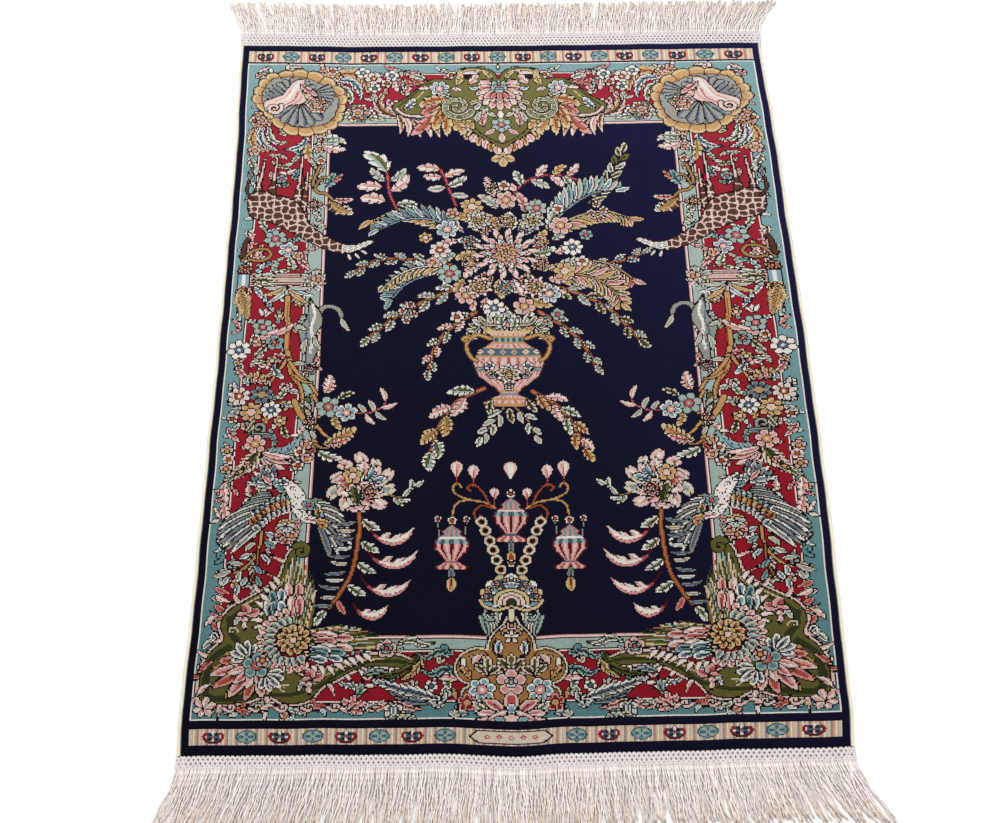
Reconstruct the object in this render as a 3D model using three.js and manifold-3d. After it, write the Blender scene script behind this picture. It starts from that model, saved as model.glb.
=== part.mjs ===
// A small hand-knotted silk rug, two feet by three, lying flat on the floor.
// It has five pieces: the knotted pile carpet, an overcast selvedge cord down each side,
// and at each end a knotted net heading whose warp ends hang on as fringe.
// Millimetres, +Z up, +X across the rug, +Y from the near fringe to the far one.

import * as THREE from 'three';
import { mergeVertices } from 'three/addons/utils/BufferGeometryUtils.js';
import Module from 'manifold-3d';

const wasm = await Module();
wasm.setup();

// The woven rectangle, before it settles into its slightly uneven outline.
const halfWidth = 305;
const halfLength = 450;

// Heights above the floor.
const pileTop = 4.0;
const rimTop = 3.0;
const flatweaveTop = 2.6;
const netTop = 2.4;

const rimWidth = 1.6;
const pieceGap = 0.3;
const widestStep = 75;

// The flat-woven band at each end is a trough between stripes of pile.
const bandHalfWidth = 296;
const bandWall = 0.8;
const bands = [
  { from: -439.5, to: -421 },
  { from: 423, to: 441 },
];

// Where the four edges really lie, measured along each edge.
const leftEdge = [
  { along: -450, lies: -305.5 },
  { along: -400, lies: -307 },
  { along: -300, lies: -304.5 },
  { along: -150, lies: -303.5 },
  { along: 0, lies: -302 },
  { along: 250, lies: -301.5 },
  { along: 450, lies: -305 },
];
const rightEdge = [
  { along: -450, lies: 303.5 },
  { along: -400, lies: 307 },
  { along: -150, lies: 311 },
  { along: 0, lies: 311 },
  { along: 250, lies: 308 },
  { along: 450, lies: 303 },
];
const nearEdge = [
  { along: -305, lies: -447.5 },
  { along: -60, lies: -448.5 },
  { along: 0, lies: -452 },
  { along: 60, lies: -449 },
  { along: 305, lies: -446.5 },
];
const farEdge = [
  { along: -305, lies: 450.5 },
  { along: -150, lies: 447 },
  { along: 0, lies: 447 },
  { along: 305, lies: 449 },
];

const selvedgeRadius = 1.8;
const selvedgeSides = 8;

const strandsPerEnd = 130;
const strandBite = 3;
const strandHalfWidth = 1.6;
const strandHeight = 2.2;
const tipShare = 0.55;
const strandSteps = [0, 0.15, 0.55, 1];

// side is -1 at the near end and +1 at the far end. lean is how far a tip drifts sideways.
const ends = [
  {
    name: 'fringe_near',
    side: -1,
    netDepth: 11.5,
    fringeLength: 57,
    lean: [
      { along: -309, lies: -22 },
      { along: -230, lies: -17 },
      { along: -120, lies: -7 },
      { along: 40, lies: 0 },
      { along: 200, lies: 9 },
      { along: 309, lies: 25 },
    ],
  },
  {
    name: 'fringe_far',
    side: 1,
    netDepth: 17.5,
    fringeLength: 55,
    lean: [
      { along: -309, lies: -20 },
      { along: -240, lies: -7 },
      { along: 0, lies: 2 },
      { along: 230, lies: 8 },
      { along: 309, lies: 27 },
    ],
  },
];
const lengthScatter = 7;
const driftHeight = 1.6;
const driftLengths = [61, 97];

const netHalfWidth = halfWidth + pieceGap + 2 * selvedgeRadius;

const colours = {
  pile: new THREE.MeshStandardMaterial({ color: 0x14163a, roughness: 0.62, metalness: 0 }),
  selvedge: new THREE.MeshStandardMaterial({ color: 0xd9cdbb, roughness: 0.75, metalness: 0 }),
  fringe: new THREE.MeshStandardMaterial({ color: 0xe6dcd0, roughness: 0.85, metalness: 0 }),
};

// Reads an edge table at a station, easing smoothly from row to row.
function eased(rows, station) {
  const last = rows.length - 1;
  const clamped = THREE.MathUtils.clamp(station, rows[0].along, rows[last].along);
  const next = Math.max(1, rows.findIndex((row) => row.along >= clamped));
  const a = rows[next - 1];
  const b = rows[next];
  const share = THREE.MathUtils.smoothstep(clamped, a.along, b.along);
  return THREE.MathUtils.lerp(a.lies, b.lies, share);
}

// Where a point of the woven rectangle lies on the floor.
function settle(x, y, z) {
  const across = (x + halfWidth) / (2 * halfWidth);
  const up = (y + halfLength) / (2 * halfLength);
  return new THREE.Vector3(
    THREE.MathUtils.lerp(eased(leftEdge, y), eased(rightEdge, y), across),
    THREE.MathUtils.lerp(eased(nearEdge, x), eased(farEdge, x), up),
    z,
  );
}

// A repeatable scatter between -0.5 and 0.5 for the nth piece.
function scatter(n) {
  const wild = Math.sin(n * 12.9898 + 4.1) * 43758.5453;
  return wild - Math.floor(wild) - 0.5;
}

// Stations from low to high: the given breaks, with even steps of at most maxStep between them.
function stations(breaks, maxStep) {
  const found = [breaks[0]];
  for (let i = 1; i < breaks.length; i += 1) {
    const steps = Math.ceil((breaks[i] - breaks[i - 1]) / maxStep);
    for (let s = 1; s <= steps; s += 1) {
      found.push(THREE.MathUtils.lerp(breaks[i - 1], breaks[i], s / steps));
    }
  }
  return found;
}

const bandBreaks = bands.flatMap((band) => [
  band.from,
  band.from + bandWall,
  band.to - bandWall,
  band.to,
]);
const xStations = stations(
  [
    -halfWidth,
    -halfWidth + rimWidth,
    -bandHalfWidth,
    -bandHalfWidth + bandWall,
    0,
    bandHalfWidth - bandWall,
    bandHalfWidth,
    halfWidth - rimWidth,
    halfWidth,
  ],
  widestStep,
);
const yStations = stations(
  [
    -halfLength,
    -halfLength + rimWidth,
    ...bandBreaks,
    halfLength - rimWidth,
    halfLength,
  ].sort((a, b) => a - b),
  widestStep,
);

// Height of the carpet's top at a woven point: low at the rim, lower in the flat-woven bands.
function carpetTop(x, y) {
  const onRim = Math.abs(x) === halfWidth || Math.abs(y) === halfLength;
  if (onRim) return rimTop;
  const slack = bandWall / 2;
  const inBand = bands.some((band) => y > band.from + slack && y < band.to - slack);
  return inBand && Math.abs(x) < bandHalfWidth - slack ? flatweaveTop : pileTop;
}

function geometryFrom(positions, triangles) {
  const geometry = new THREE.BufferGeometry();
  geometry.setAttribute('position', new THREE.Float32BufferAttribute(positions, 3));
  geometry.setIndex(triangles);
  geometry.computeVertexNormals();
  return geometry;
}

// A closed slab over a grid of woven stations, flat underneath at z = 0.
function slab(xs, ys, topAt) {
  const positions = [];
  const triangles = [];
  const layer = xs.length * ys.length;
  const at = (i, j, top) => j * xs.length + i + (top ? layer : 0);
  for (const top of [false, true]) {
    for (const y of ys) {
      for (const x of xs) {
        positions.push(...settle(x, y, top ? topAt(x, y) : 0).toArray());
      }
    }
  }
  const quad = (a, b, c, d) => triangles.push(a, b, c, a, c, d);
  for (let j = 0; j < ys.length - 1; j += 1) {
    for (let i = 0; i < xs.length - 1; i += 1) {
      quad(at(i, j, true), at(i + 1, j, true), at(i + 1, j + 1, true), at(i, j + 1, true));
      quad(at(i, j, false), at(i, j + 1, false), at(i + 1, j + 1, false), at(i + 1, j, false));
    }
  }
  const right = xs.length - 1;
  const far = ys.length - 1;
  for (let i = 0; i < right; i += 1) {
    quad(at(i, 0, false), at(i + 1, 0, false), at(i + 1, 0, true), at(i, 0, true));
    quad(at(i + 1, far, false), at(i, far, false), at(i, far, true), at(i + 1, far, true));
  }
  for (let j = 0; j < far; j += 1) {
    quad(at(0, j + 1, false), at(0, j, false), at(0, j, true), at(0, j + 1, true));
    quad(at(right, j, false), at(right, j + 1, false), at(right, j + 1, true), at(right, j, true));
  }
  return geometryFrom(positions, triangles);
}

// A closed body through rings that all have the same number of points.
// Seen along the way the rings advance, each ring turns clockwise.
function loft(rings) {
  const sides = rings[0].length;
  const positions = rings.flat().flatMap((point) => point.toArray());
  const triangles = [];
  for (let r = 0; r < rings.length - 1; r += 1) {
    for (let k = 0; k < sides; k += 1) {
      const a = r * sides + k;
      const b = r * sides + ((k + 1) % sides);
      triangles.push(a, b, b + sides, a, b + sides, a + sides);
    }
  }
  const last = (rings.length - 1) * sides;
  for (let k = 1; k < sides - 1; k += 1) {
    triangles.push(0, k + 1, k, last, last + k, last + k + 1);
  }
  return geometryFrom(positions, triangles);
}

// The overcast edge: a cord with a flat side down, just outside the carpet's rim.
function selvedge(side) {
  const centre = side * (halfWidth + pieceGap + selvedgeRadius);
  const flatDown = Math.PI / selvedgeSides;
  const toFlat = selvedgeRadius / Math.cos(flatDown);
  const rings = yStations.map((y) => {
    const ring = [];
    for (let k = 0; k < selvedgeSides; k += 1) {
      const turn = flatDown + (2 * Math.PI * k) / selvedgeSides;
      const x = centre - toFlat * Math.cos(turn);
      ring.push(settle(x, y, selvedgeRadius + toFlat * Math.sin(turn)));
    }
    return ring;
  });
  return loft(rings);
}

// One warp end: three-sided, flat on the floor, thinning towards its cut tip.
function strand(end, n) {
  const span = 2 * (netHalfWidth - strandHalfWidth);
  const root = -span / 2 + (span * (n + 0.5)) / strandsPerEnd;
  const reach = end.fringeLength + lengthScatter * scatter(n + end.side * 500);
  const start = halfLength + pieceGap + end.netDepth - strandBite;
  const drift = driftLengths.reduce(
    (sum, wave, i) => sum + driftHeight * Math.sin((2 * Math.PI * root) / wave + i + end.side),
    0,
  );
  const rings = strandSteps.map((share) => {
    const sideways = (eased(end.lean, root) + drift) * share ** 1.5;
    const out = start + (reach + strandBite) * share;
    const thin = THREE.MathUtils.lerp(1, tipShare, share);
    const centre = root + sideways;
    const ring = [
      settle(centre - strandHalfWidth * thin, end.side * out, 0),
      settle(centre, end.side * out, strandHeight * thin),
      settle(centre + strandHalfWidth * thin, end.side * out, 0),
    ];
    return end.side > 0 ? ring : ring.reverse();
  });
  return loft(rings);
}

// The knotted net heading that the strands grow from.
function netHeading(end) {
  const inner = end.side * (halfLength + pieceGap);
  const outer = inner + end.side * end.netDepth;
  const ys = [Math.min(inner, outer), Math.max(inner, outer)];
  const xs = [-netHalfWidth, ...xStations.slice(1, -1), netHalfWidth];
  return slab(xs, ys, () => netTop);
}

function toSolid(geometry) {
  const bare = geometry.clone();
  bare.deleteAttribute('normal');
  const merged = mergeVertices(bare);
  return new wasm.Manifold(
    new wasm.Mesh({
      numProp: 3,
      vertProperties: new Float32Array(merged.getAttribute('position').array),
      triVerts: new Uint32Array(merged.getIndex().array),
    }),
  );
}

function toGeometry(solid) {
  const mesh = solid.getMesh();
  return geometryFrom(Array.from(mesh.vertProperties), Array.from(mesh.triVerts));
}

function fringe(end) {
  let solid = toSolid(netHeading(end));
  for (let n = 0; n < strandsPerEnd; n += 1) {
    solid = solid.add(toSolid(strand(end, n)));
  }
  return toGeometry(solid);
}

function piece(name, geometry, material) {
  const mesh = new THREE.Mesh(geometry, material);
  mesh.name = name;
  return mesh;
}

const rug = new THREE.Group();
rug.add(piece('carpet', slab(xStations, yStations, carpetTop), colours.pile));
rug.add(piece('selvedge_left', selvedge(-1), colours.selvedge));
rug.add(piece('selvedge_right', selvedge(1), colours.selvedge));
for (const end of ends) {
  rug.add(piece(end.name, fringe(end), colours.fringe));
}

// The origin is the middle of the whole rug's footprint, on the floor.
const middle = new THREE.Box3().setFromObject(rug).getCenter(new THREE.Vector3());
rug.position.set(-middle.x, -middle.y, 0);

export default rug;
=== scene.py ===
"""A small hand-knotted silk rug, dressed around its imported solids.

The pile is drawn knot by knot on a chart, in millimetres of the woven rectangle, and then laid on
the floor in the rug's slightly uneven outline. Every mesh is in metres.
"""

import bmesh
import bpy
import numpy as np
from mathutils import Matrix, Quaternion, Vector


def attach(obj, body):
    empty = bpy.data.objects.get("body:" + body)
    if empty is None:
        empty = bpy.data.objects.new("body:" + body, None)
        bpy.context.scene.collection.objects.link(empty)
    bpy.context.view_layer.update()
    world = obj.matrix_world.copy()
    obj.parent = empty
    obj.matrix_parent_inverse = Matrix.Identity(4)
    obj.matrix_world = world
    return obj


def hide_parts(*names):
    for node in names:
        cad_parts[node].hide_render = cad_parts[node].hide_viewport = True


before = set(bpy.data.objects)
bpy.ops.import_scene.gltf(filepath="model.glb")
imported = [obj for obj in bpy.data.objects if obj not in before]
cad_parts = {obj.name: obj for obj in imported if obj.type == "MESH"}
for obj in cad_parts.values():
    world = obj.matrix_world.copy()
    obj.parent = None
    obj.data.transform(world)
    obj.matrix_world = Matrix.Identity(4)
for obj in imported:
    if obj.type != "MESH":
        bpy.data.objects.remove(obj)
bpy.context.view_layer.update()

# Sizes of the woven rectangle and its trim, in millimetres, as in the solids.
HALF_WIDTH = 305.0
HALF_LENGTH = 450.0
PILE_TOP = 3.9
RIM_TOP = 2.6
FLATWEAVE_TOP = 2.5
GROUND_TOP = 2.2
BAND_HALF_WIDTH = 296.0
NEAR_BAND = (-439.5, -421.0)
FAR_BAND = (423.0, 441.0)
PIECE_GAP = 0.3
SELVEDGE_RADIUS = 1.8
NET_HALF_WIDTH = HALF_WIDTH + PIECE_GAP + 2 * SELVEDGE_RADIUS
# The outermost cord of the net, and strand of the fringe, lies this far from the middle.
LAST_CORD = NET_HALF_WIDTH - 0.8
# The woven rectangle's middle, in the frame whose origin is the middle of the whole footprint.
MIDDLE = (-0.73, -1.21)

# Where the four edges really lie, as (along, lies) rows, measured along each edge.
LEFT_EDGE = [
    (-450, -305.5), (-400, -307), (-300, -304.5), (-150, -303.5), (0, -302), (250, -301.5), (450, -305),
]
RIGHT_EDGE = [(-450, 303.5), (-400, 307), (-150, 311), (0, 311), (250, 308), (450, 303)]
NEAR_EDGE = [(-305, -447.5), (-60, -448.5), (0, -452), (60, -449), (305, -446.5)]
FAR_EDGE = [(-305, 450.5), (-150, 447), (0, 447), (305, 449)]

# How far the woven drawing wanders from its chart, as (along, off) rows.
DRAWN_ACROSS = [
    (-305, 0), (-298, -2.4), (-276, -3.0), (-200, -3.2), (-140, -3.4), (0, -4.8), (140, -7.4), (200, -7.4),
    (240, -5), (276, -1), (298, 2.2), (305, 0),
]
DRAWN_ALONG = [
    (-450, 0), (-439.5, -0.5), (-421, -2.8), (-400, -2.4), (-340, -4), (-290, -2.5), (-240, -4.8),
    (-200, -4), (-150, -2.2), (-65, -0.8), (20, -3.2), (100, -2.2), (190, -4.6), (260, -2), (350, 1.5),
    (405, 0.8), (450, 0),
]

# The two ends. lean is how far a fringe tip drifts sideways, as (along, lies) rows.
ENDS = {
    "near": {
        "side": -1,
        "net_depth": 11.5,
        "net_rows": 3,
        "cord": 1.45,
        "length": 60.5,
        "lean": [(-309, -22), (-230, -17), (-120, -7), (40, 0), (200, 9), (309, 25)],
    },
    "far": {
        "side": 1,
        "net_depth": 17.5,
        "net_rows": 4,
        "cord": 1.55,
        "length": 55.0,
        "lean": [(-309, -20), (-240, -7), (0, 2), (230, 8), (309, 27)],
    },
}

# The knots of the pile.
COLUMNS = 470
ROWS = 692
KNOT_WIDE = 2 * HALF_WIDTH / COLUMNS
KNOT_LONG = 2 * HALF_LENGTH / ROWS
# A drawn outline is about one knot wide.
LINE = 1.25

# Dyed silks, as sRGB from 0 to 255.
DYES = {
    "navy": (15, 15, 43),
    "ink": (26, 15, 18),
    "red": (151, 31, 45),
    "wine": (104, 16, 30),
    "rose": (184, 90, 94),
    "pink": (214, 156, 148),
    "blush": (227, 198, 189),
    "cream": (222, 208, 188),
    "white": (236, 229, 220),
    "teal": (122, 159, 162),
    "deep": (58, 98, 106),
    "aqua": (164, 182, 174),
    "sky": (132, 164, 178),
    "slate": (86, 104, 122),
    "olive": (106, 102, 54),
    "moss": (60, 65, 36),
    "gold": (197, 151, 98),
    "tan": (170, 126, 80),
    "rust": (164, 82, 42),
    "brown": (84, 53, 42),
    "grey": (152, 152, 146),
    "flax": (214, 190, 146),
}
NUMBER = {name: n for n, name in enumerate(DYES)}

# A leaf's outline, rim, the two halves of its core, and its vein.
LEAVES = {
    "olive": ("ink", "cream", "olive", "moss", "ink"),
    "sage": ("ink", "white", "aqua", "olive", "moss"),
    "blue": ("ink", "white", "sky", "slate", "ink"),
    "rose": ("ink", "blush", "rose", "pink", "brown"),
    "gold": ("ink", "flax", "gold", "rust", "brown"),
    "pale": ("ink", "cream", "grey", "aqua", "slate"),
    "teal": ("ink", "aqua", "deep", "teal", "ink"),
    "flame": ("ink", "pink", "rust", "rose", "brown"),
    "shell": ("ink", "blush", "white", "pink", "rose"),
    "dusk": ("ink", "grey", "slate", "slate", "ink"),
    "ash": ("ink", "white", "grey", "slate", "ink"),
    "mint": ("ink", "aqua", "sky", "olive", "ink"),
    "moss": ("ink", "olive", "moss", "olive", "ink"),
    "straw": ("ink", "flax", "tan", "gold", "olive"),
    "ember": ("ink", "gold", "rust", "brown", "ink"),
    "husk": ("ink", "blush", "brown", "tan", "ink"),
    "ice": ("ink", "aqua", "sky", "aqua", "slate"),
    "flare": ("ink", "flax", "deep", "teal", "ink"),
}
# A flower's petal rim, petal core and eye.
FLOWERS = {
    "rose": ("blush", "pink", "gold"),
    "blue": ("white", "sky", "pink"),
    "cream": ("white", "blush", "rust"),
    "red": ("pink", "red", "gold"),
    "daisy": ("white", "white", "slate"),
    "teal": ("aqua", "teal", "rose"),
    "gold": ("flax", "gold", "blush"),
    "sky": ("aqua", "aqua", "rose"),
    "slate": ("grey", "slate", "gold"),
}

# The border's stripes and the field, from the outside in: half width, near end, far end and colour.
STRIPES = [
    (296.0, -414.0, 418.8, "white"),
    (294.4, -412.4, 417.2, "teal"),
    (278.6, -397.4, 405.0, "ink"),
    (277.4, -396.2, 403.8, "white"),
    (276.0, -394.8, 402.4, "red"),
    (217.6, -343.6, 339.2, "white"),
    (216.2, -342.2, 337.8, "ink"),
    (215.0, -341.0, 336.6, "aqua"),
    (201.6, -329.8, 325.0, "wine"),
    (200.4, -328.6, 323.8, "white"),
    (199.0, -327.2, 322.4, "pink"),
    (197.6, -325.8, 321.0, "navy"),
]
# Headings are in radians from the rug's right. This one points to the far end.
UP = 1.57

COLUMN_X = (np.arange(COLUMNS) + 0.5) * KNOT_WIDE - HALF_WIDTH
ROW_Y = (np.arange(ROWS) + 0.5) * KNOT_LONG - HALF_LENGTH
knots = np.full((ROWS, COLUMNS), NUMBER["navy"], np.uint8)


# The chart's pens

def window(x, y, reach):
    """The part of the chart within reach of a point, and each knot's offset from that point."""
    left, right = np.searchsorted(COLUMN_X, [x - reach, x + reach])
    low, high = np.searchsorted(ROW_Y, [y - reach, y + reach])
    dx, dy = np.meshgrid(COLUMN_X[left:right] - x, ROW_Y[low:high] - y)
    return knots[low:high, left:right], dx, dy


def dye(part, where, colour):
    part[where] = NUMBER[colour]


def turned(dx, dy, heading):
    """Offsets along a heading and across it."""
    c, s = np.cos(heading), np.sin(heading)
    return dx * c + dy * s, dy * c - dx * s


def block(half_wide, near, far, colour):
    """Everything out to half_wide on both sides, from near to far."""
    rows = (ROW_Y > near) & (ROW_Y < far)
    knots[rows[:, None] & (np.abs(COLUMN_X) < half_wide)] = NUMBER[colour]


def smooth(points, closed=False, spacing=0.5):
    """Close points on a smooth curve through a few."""
    p = np.array(points, float)
    if closed:
        p = np.vstack([p[-1:], p, p[:2]])
    else:
        p = np.vstack([2 * p[0] - p[1], p, 2 * p[-1] - p[-2]])
    runs = []
    for a, b, c, d in zip(p, p[1:], p[2:], p[3:]):
        count = max(2, int(np.hypot(*(c - b)) / spacing))
        t = np.linspace(0, 1, count, endpoint=False)[:, None]
        bent = 2 * a - 5 * b + 4 * c - d
        runs.append(0.5 * (2 * b + (c - a) * t + bent * t**2 + (3 * b - a - 3 * c + d) * t**3))
    return np.vstack(runs)


def headings(path):
    """The direction of a path at each of its points."""
    ahead = np.gradient(path, axis=0)
    return np.arctan2(ahead[:, 1], ahead[:, 0])


def stroke(path, colour, radius, edge=None, taper=0.0):
    """A line along close points; its radius falls by the share taper towards the end."""
    reach = radius * (1 - taper * np.linspace(0, 1, len(path)))
    column = np.round((path[:, 0] + HALF_WIDTH) / KNOT_WIDE - 0.5).astype(int)
    row = np.round((path[:, 1] + HALF_LENGTH) / KNOT_LONG - 0.5).astype(int)
    passes = [(edge, reach + LINE)] if edge else []
    passes.append((colour, reach))
    for tone, far in passes:
        most = int(np.ceil(far.max() / KNOT_WIDE))
        for j in range(-most, most + 1):
            for i in range(-most, most + 1):
                c = np.clip(column + i, 0, COLUMNS - 1)
                r = np.clip(row + j, 0, ROWS - 1)
                near = np.hypot(COLUMN_X[c] - path[:, 0], ROW_Y[r] - path[:, 1]) <= far
                knots[r[near], c[near]] = NUMBER[tone]


def curve(points, colour, radius, edge=None, taper=0.0):
    """A line through a few points."""
    stroke(smooth(points), colour, radius, edge, taper)


def region(points, colour, thick=0.7):
    """A closed smooth outline in ink, filled."""
    rim = smooth(points, closed=True, spacing=3.0)
    middle = (rim.min(0) + rim.max(0)) / 2
    part, dx, dy = window(*middle, np.ptp(rim, axis=0).max() / 2 + 2 * LINE)
    inside = np.zeros(dx.shape, bool)
    for a, b in zip(rim - middle, np.roll(rim, -1, 0) - middle):
        if a[1] != b[1]:
            crossing = (a[1] > dy) != (b[1] > dy)
            inside ^= crossing & (dx < a[0] + (b[0] - a[0]) * (dy - a[1]) / (b[1] - a[1]))
    dye(part, inside, colour)
    stroke(smooth(points, closed=True), "ink", thick)


def mirrored(points):
    """An outline given down its left side, closed down its right."""
    return points + [(-x, y) for x, y in points[::-1] if x]


# Motifs

def leaf(x, y, heading, length, width, tones, bend=0.0, teeth=0, plump=0.8, core=0.52):
    """A pointed leaf or petal from its foot, curling at the tip by bend; its teeth point to the tip."""
    edge, rim, upper, lower, vein = LEAVES[tones]
    part, dx, dy = window(x, y, length * (1 + abs(bend)) + 2 * LINE)
    u, v = turned(dx, dy, heading)
    t = np.clip(u / length, 0, 1)
    v = v - bend * length * t**2.3
    widest = plump / (plump + 0.75)
    half = width / 2 * t**plump * (1 - t) ** 0.75 / (widest**plump * (1 - widest) ** 0.75)
    off = np.abs(v)
    body = (u > 0) & (u < length)
    cut = np.zeros(body.shape, bool)
    if teeth:
        tooth = (t * teeth + 0.3 * (v > 0)) % 1
        half = half * (0.74 + 0.46 * tooth)
        cut = body & (tooth < 1.1 * teeth * LINE / length) & (off > 0.45 * half) & (off < half)
    dye(part, (u > -LINE) & (u < length + LINE) & (off < half + LINE), edge)
    dye(part, body & (off < half), rim)
    inner = body & (off < core * half) & (t > 0.1) & (t < 0.86)
    dye(part, inner, upper)
    if width > 5.0:
        dye(part, inner & (v < 0), lower)
        dye(part, cut, edge)
    if width > 5.5 * LINE:
        dye(part, body & (off < 0.5 * LINE) & (t < 0.62), vein)


def flower(x, y, size, tones, petals, turn=0.3):
    """A round flower of separate petals round a ringed eye."""
    rim, petal, eye = FLOWERS[tones]
    part, dx, dy = window(x, y, size + 2 * LINE)
    far = np.hypot(dx, dy)
    slot = 2 * np.pi / petals
    off = (np.arctan2(dy, dx) - turn + slot / 2) % slot - slot / 2
    along, across = far * np.cos(off) - 0.65 * size, far * np.sin(off)
    tall, wide = 0.36 * size, 0.65 * size * np.sin(np.pi / petals)
    dye(part, np.hypot(along / (tall + LINE), across / (wide + LINE)) < 1, "ink")
    dye(part, far < 0.66 * size, "ink")
    oval = np.hypot(along / tall, across / wide)
    parted = far * (slot / 2 - np.abs(off)) > 0.45 * LINE
    dye(part, (oval < 1) & parted, rim)
    dye(part, (oval < 0.62) & parted, petal)
    dye(part, far < 0.36 * size + 0.8 * LINE, "ink")
    dye(part, far < 0.36 * size, eye)
    if size > 8:
        dye(part, far < 0.14 * size, rim)


def outside_in(count):
    """Numbers from both ends to the middle one, which then lies on top."""
    return sorted(range(count), key=lambda n: -abs(n - (count - 1) / 2))


def fan(x, y, heading, size, tones, count, spread, width, teeth=0):
    """Petals side by side from one foot, the outer pair first and the middle one on top."""
    half = (count - 1) / 2
    for n in outside_in(count):
        share = (n - half) / max(half, 1)
        length = size * (1 - 0.22 * share**2)
        leaf(x, y, heading + 0.5 * spread * share, length, width, tones, 0.14 * share, teeth, 1.2, 0.5)


def petal_ring(x, y, count, turn, lengths, width, tones, bend, teeth, plump, core):
    """Petals all round a point, their lengths and tones taken in turn."""
    for n in range(count):
        length, tone = lengths[n % len(lengths)], tones[n % len(tones)]
        leaf(x, y, 2 * np.pi * n / count + turn, length, width, tone, bend, teeth, plump, core)


def blossom(x, y, size, tones, petals, turn, teeth=0, heart="gold"):
    """A full double flower, its petals all round in three rings."""
    for ring, share in enumerate((1.0, 0.74, 0.5)):
        for n in range(petals):
            heading = turn + 0.35 * ring + 2 * np.pi * n / petals
            leaf(x, y, heading, size * share, 1.2 * size * 2 / petals, tones[ring], 0, teeth, 1.9, 0.42)
    flower(x, y, 0.24 * size, heart, 5)


def bunch(x, y, size, tones, count, turn=0.0):
    """A few small blossoms close round one."""
    for n in range(count):
        heading = turn + 2 * np.pi * n / count
        at_x, at_y = x + 0.75 * size * np.cos(heading), y + 0.75 * size * np.sin(heading)
        flower(at_x, at_y, 0.5 * size, tones[n % len(tones)], 5, heading)
    flower(x, y, 0.5 * size, tones[0], 5, turn)


def spray(points, tones, length, width, pairs, stem, edge=None, apart=0.85, teeth=0):
    """A stem with leaves down both sides, taken in turn from the tones, and one at its tip."""
    path = smooth(points)
    stroke(path, stem, 1.05, edge, 0.35)
    heading = headings(path)
    for n in range(pairs):
        for side in (-1, 1):
            share = (n + 0.55 + 0.2 * side) / (pairs + 0.2)
            k = min(int(share * len(path)), len(path) - 1)
            size = length * (1.05 - 0.3 * share)
            tone = tones[(n + (side > 0)) % len(tones)]
            leaf(*path[k], heading[k] + side * apart, size, width, tone, -0.35 * side, teeth)
    leaf(*path[-1], heading[-1], 0.85 * length, width, tones[0], 0.15, teeth)


def plume(points, tones, length, width, count, spine="cream", sides=(-1, 1), lean=0.75):
    """An acanthus leaf: barbs set close along a curve and largest before its middle, then its spine."""
    path = smooth(points)
    heading = headings(path)
    for n in reversed(range(count)):
        share = (n + 0.5) / count
        k = int(share * (len(path) - 1))
        size = length * (0.35 + 0.75 * np.sin(np.pi * (0.12 + 0.8 * share) ** 0.8))
        for side in sides:
            tone = tones[n % len(tones)]
            leaf(*path[k], heading[k] + side * lean, size, width, tone, 0.2 * side, 0, 1.0)
    leaf(*path[-1], heading[-1], 0.6 * length, width, tones[0], 0.2)
    stroke(path, spine, 0.9, "ink", 0.5)


def acanthus(points, width, tones, teeth, core=0.5):
    """A curled leaf laid along a curve, its barbed edges hatched towards the spine."""
    edge, rim, upper, lower, vein = LEAVES[tones]
    path = smooth(points, spacing=1.0)
    heading = headings(path)
    length = np.hypot(*np.diff(path, axis=0).T).sum()
    middle = (path.min(0) + path.max(0)) / 2
    part, dx, dy = window(*middle, np.ptp(path, axis=0).max() / 2 + width)
    away_x = dx[..., None] - (path[:, 0] - middle[0])
    away_y = dy[..., None] - (path[:, 1] - middle[1])
    gap = np.hypot(away_x, away_y)
    nearest = gap.argmin(-1)
    pick = nearest[..., None]
    off = np.take_along_axis(gap, pick, -1)[..., 0]
    near_x, near_y = (np.take_along_axis(a, pick, -1)[..., 0] for a in (away_x, away_y))
    side = np.cos(heading[nearest]) * near_y - np.sin(heading[nearest]) * near_x
    t = nearest / (len(path) - 1)
    profile = np.minimum(1.0, 2.4 * t + 0.25) * (1 - t) ** 0.55
    tooth = (t - 0.9 * off / length) * teeth
    tooth = (tooth + 0.5 * (side > 0)) % 1
    half = width / 2 * profile * (0.66 + 0.56 * tooth)
    dye(part, off < half + LINE, edge)
    dye(part, off < half, rim)
    inner = off < core * half
    dye(part, inner & (side >= 0), upper)
    dye(part, inner & (side < 0), lower)
    dye(part, (off < half) & (off > 0.34 * half) & (tooth < LINE * teeth / length), edge)
    dye(part, (off < 0.5 * LINE) & (t < 0.8), vein)


def hatching(roots, tips, tones, count):
    """Fine long strokes from points along one curve to points along another, in turning tones."""
    feet, ends = smooth(roots), smooth(tips)
    for n in range(count):
        share = n / (count - 1)
        foot = feet[int(share * (len(feet) - 1))]
        end = ends[int(share * (len(ends) - 1))]
        end = end + (foot - end) * 0.16 * (n % 3)
        t = np.linspace(0, 1, 120)[:, None]
        stroke(foot + (end - foot) * t, tones[n % len(tones)], 1.15, None, 0.3)


def frill(points, tones, length, width, count, side, lean, bend=0.5):
    """Small curled leaves along one side of a curve."""
    path = smooth(points)
    heading = headings(path)
    for n in range(count):
        k = int((n + 0.5) / count * (len(path) - 1))
        tone = tones[n % len(tones)]
        leaf(*path[k], heading[k] + side * lean, length, width, tone, side * bend, 0, 0.7)


def tendril(x, y, heading, length, colour, radius, hand, turns, edge="ink"):
    """A scroll that sets out along its heading and winds up to one side."""
    t = np.linspace(0, 1, int(length / 0.5))
    way = heading + hand * 2 * np.pi * turns * t**2
    path = np.stack([x + np.cumsum(np.cos(way)) * 0.5, y + np.cumsum(np.sin(way)) * 0.5], 1)
    stroke(path, colour, radius, edge, 0.3)


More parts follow.
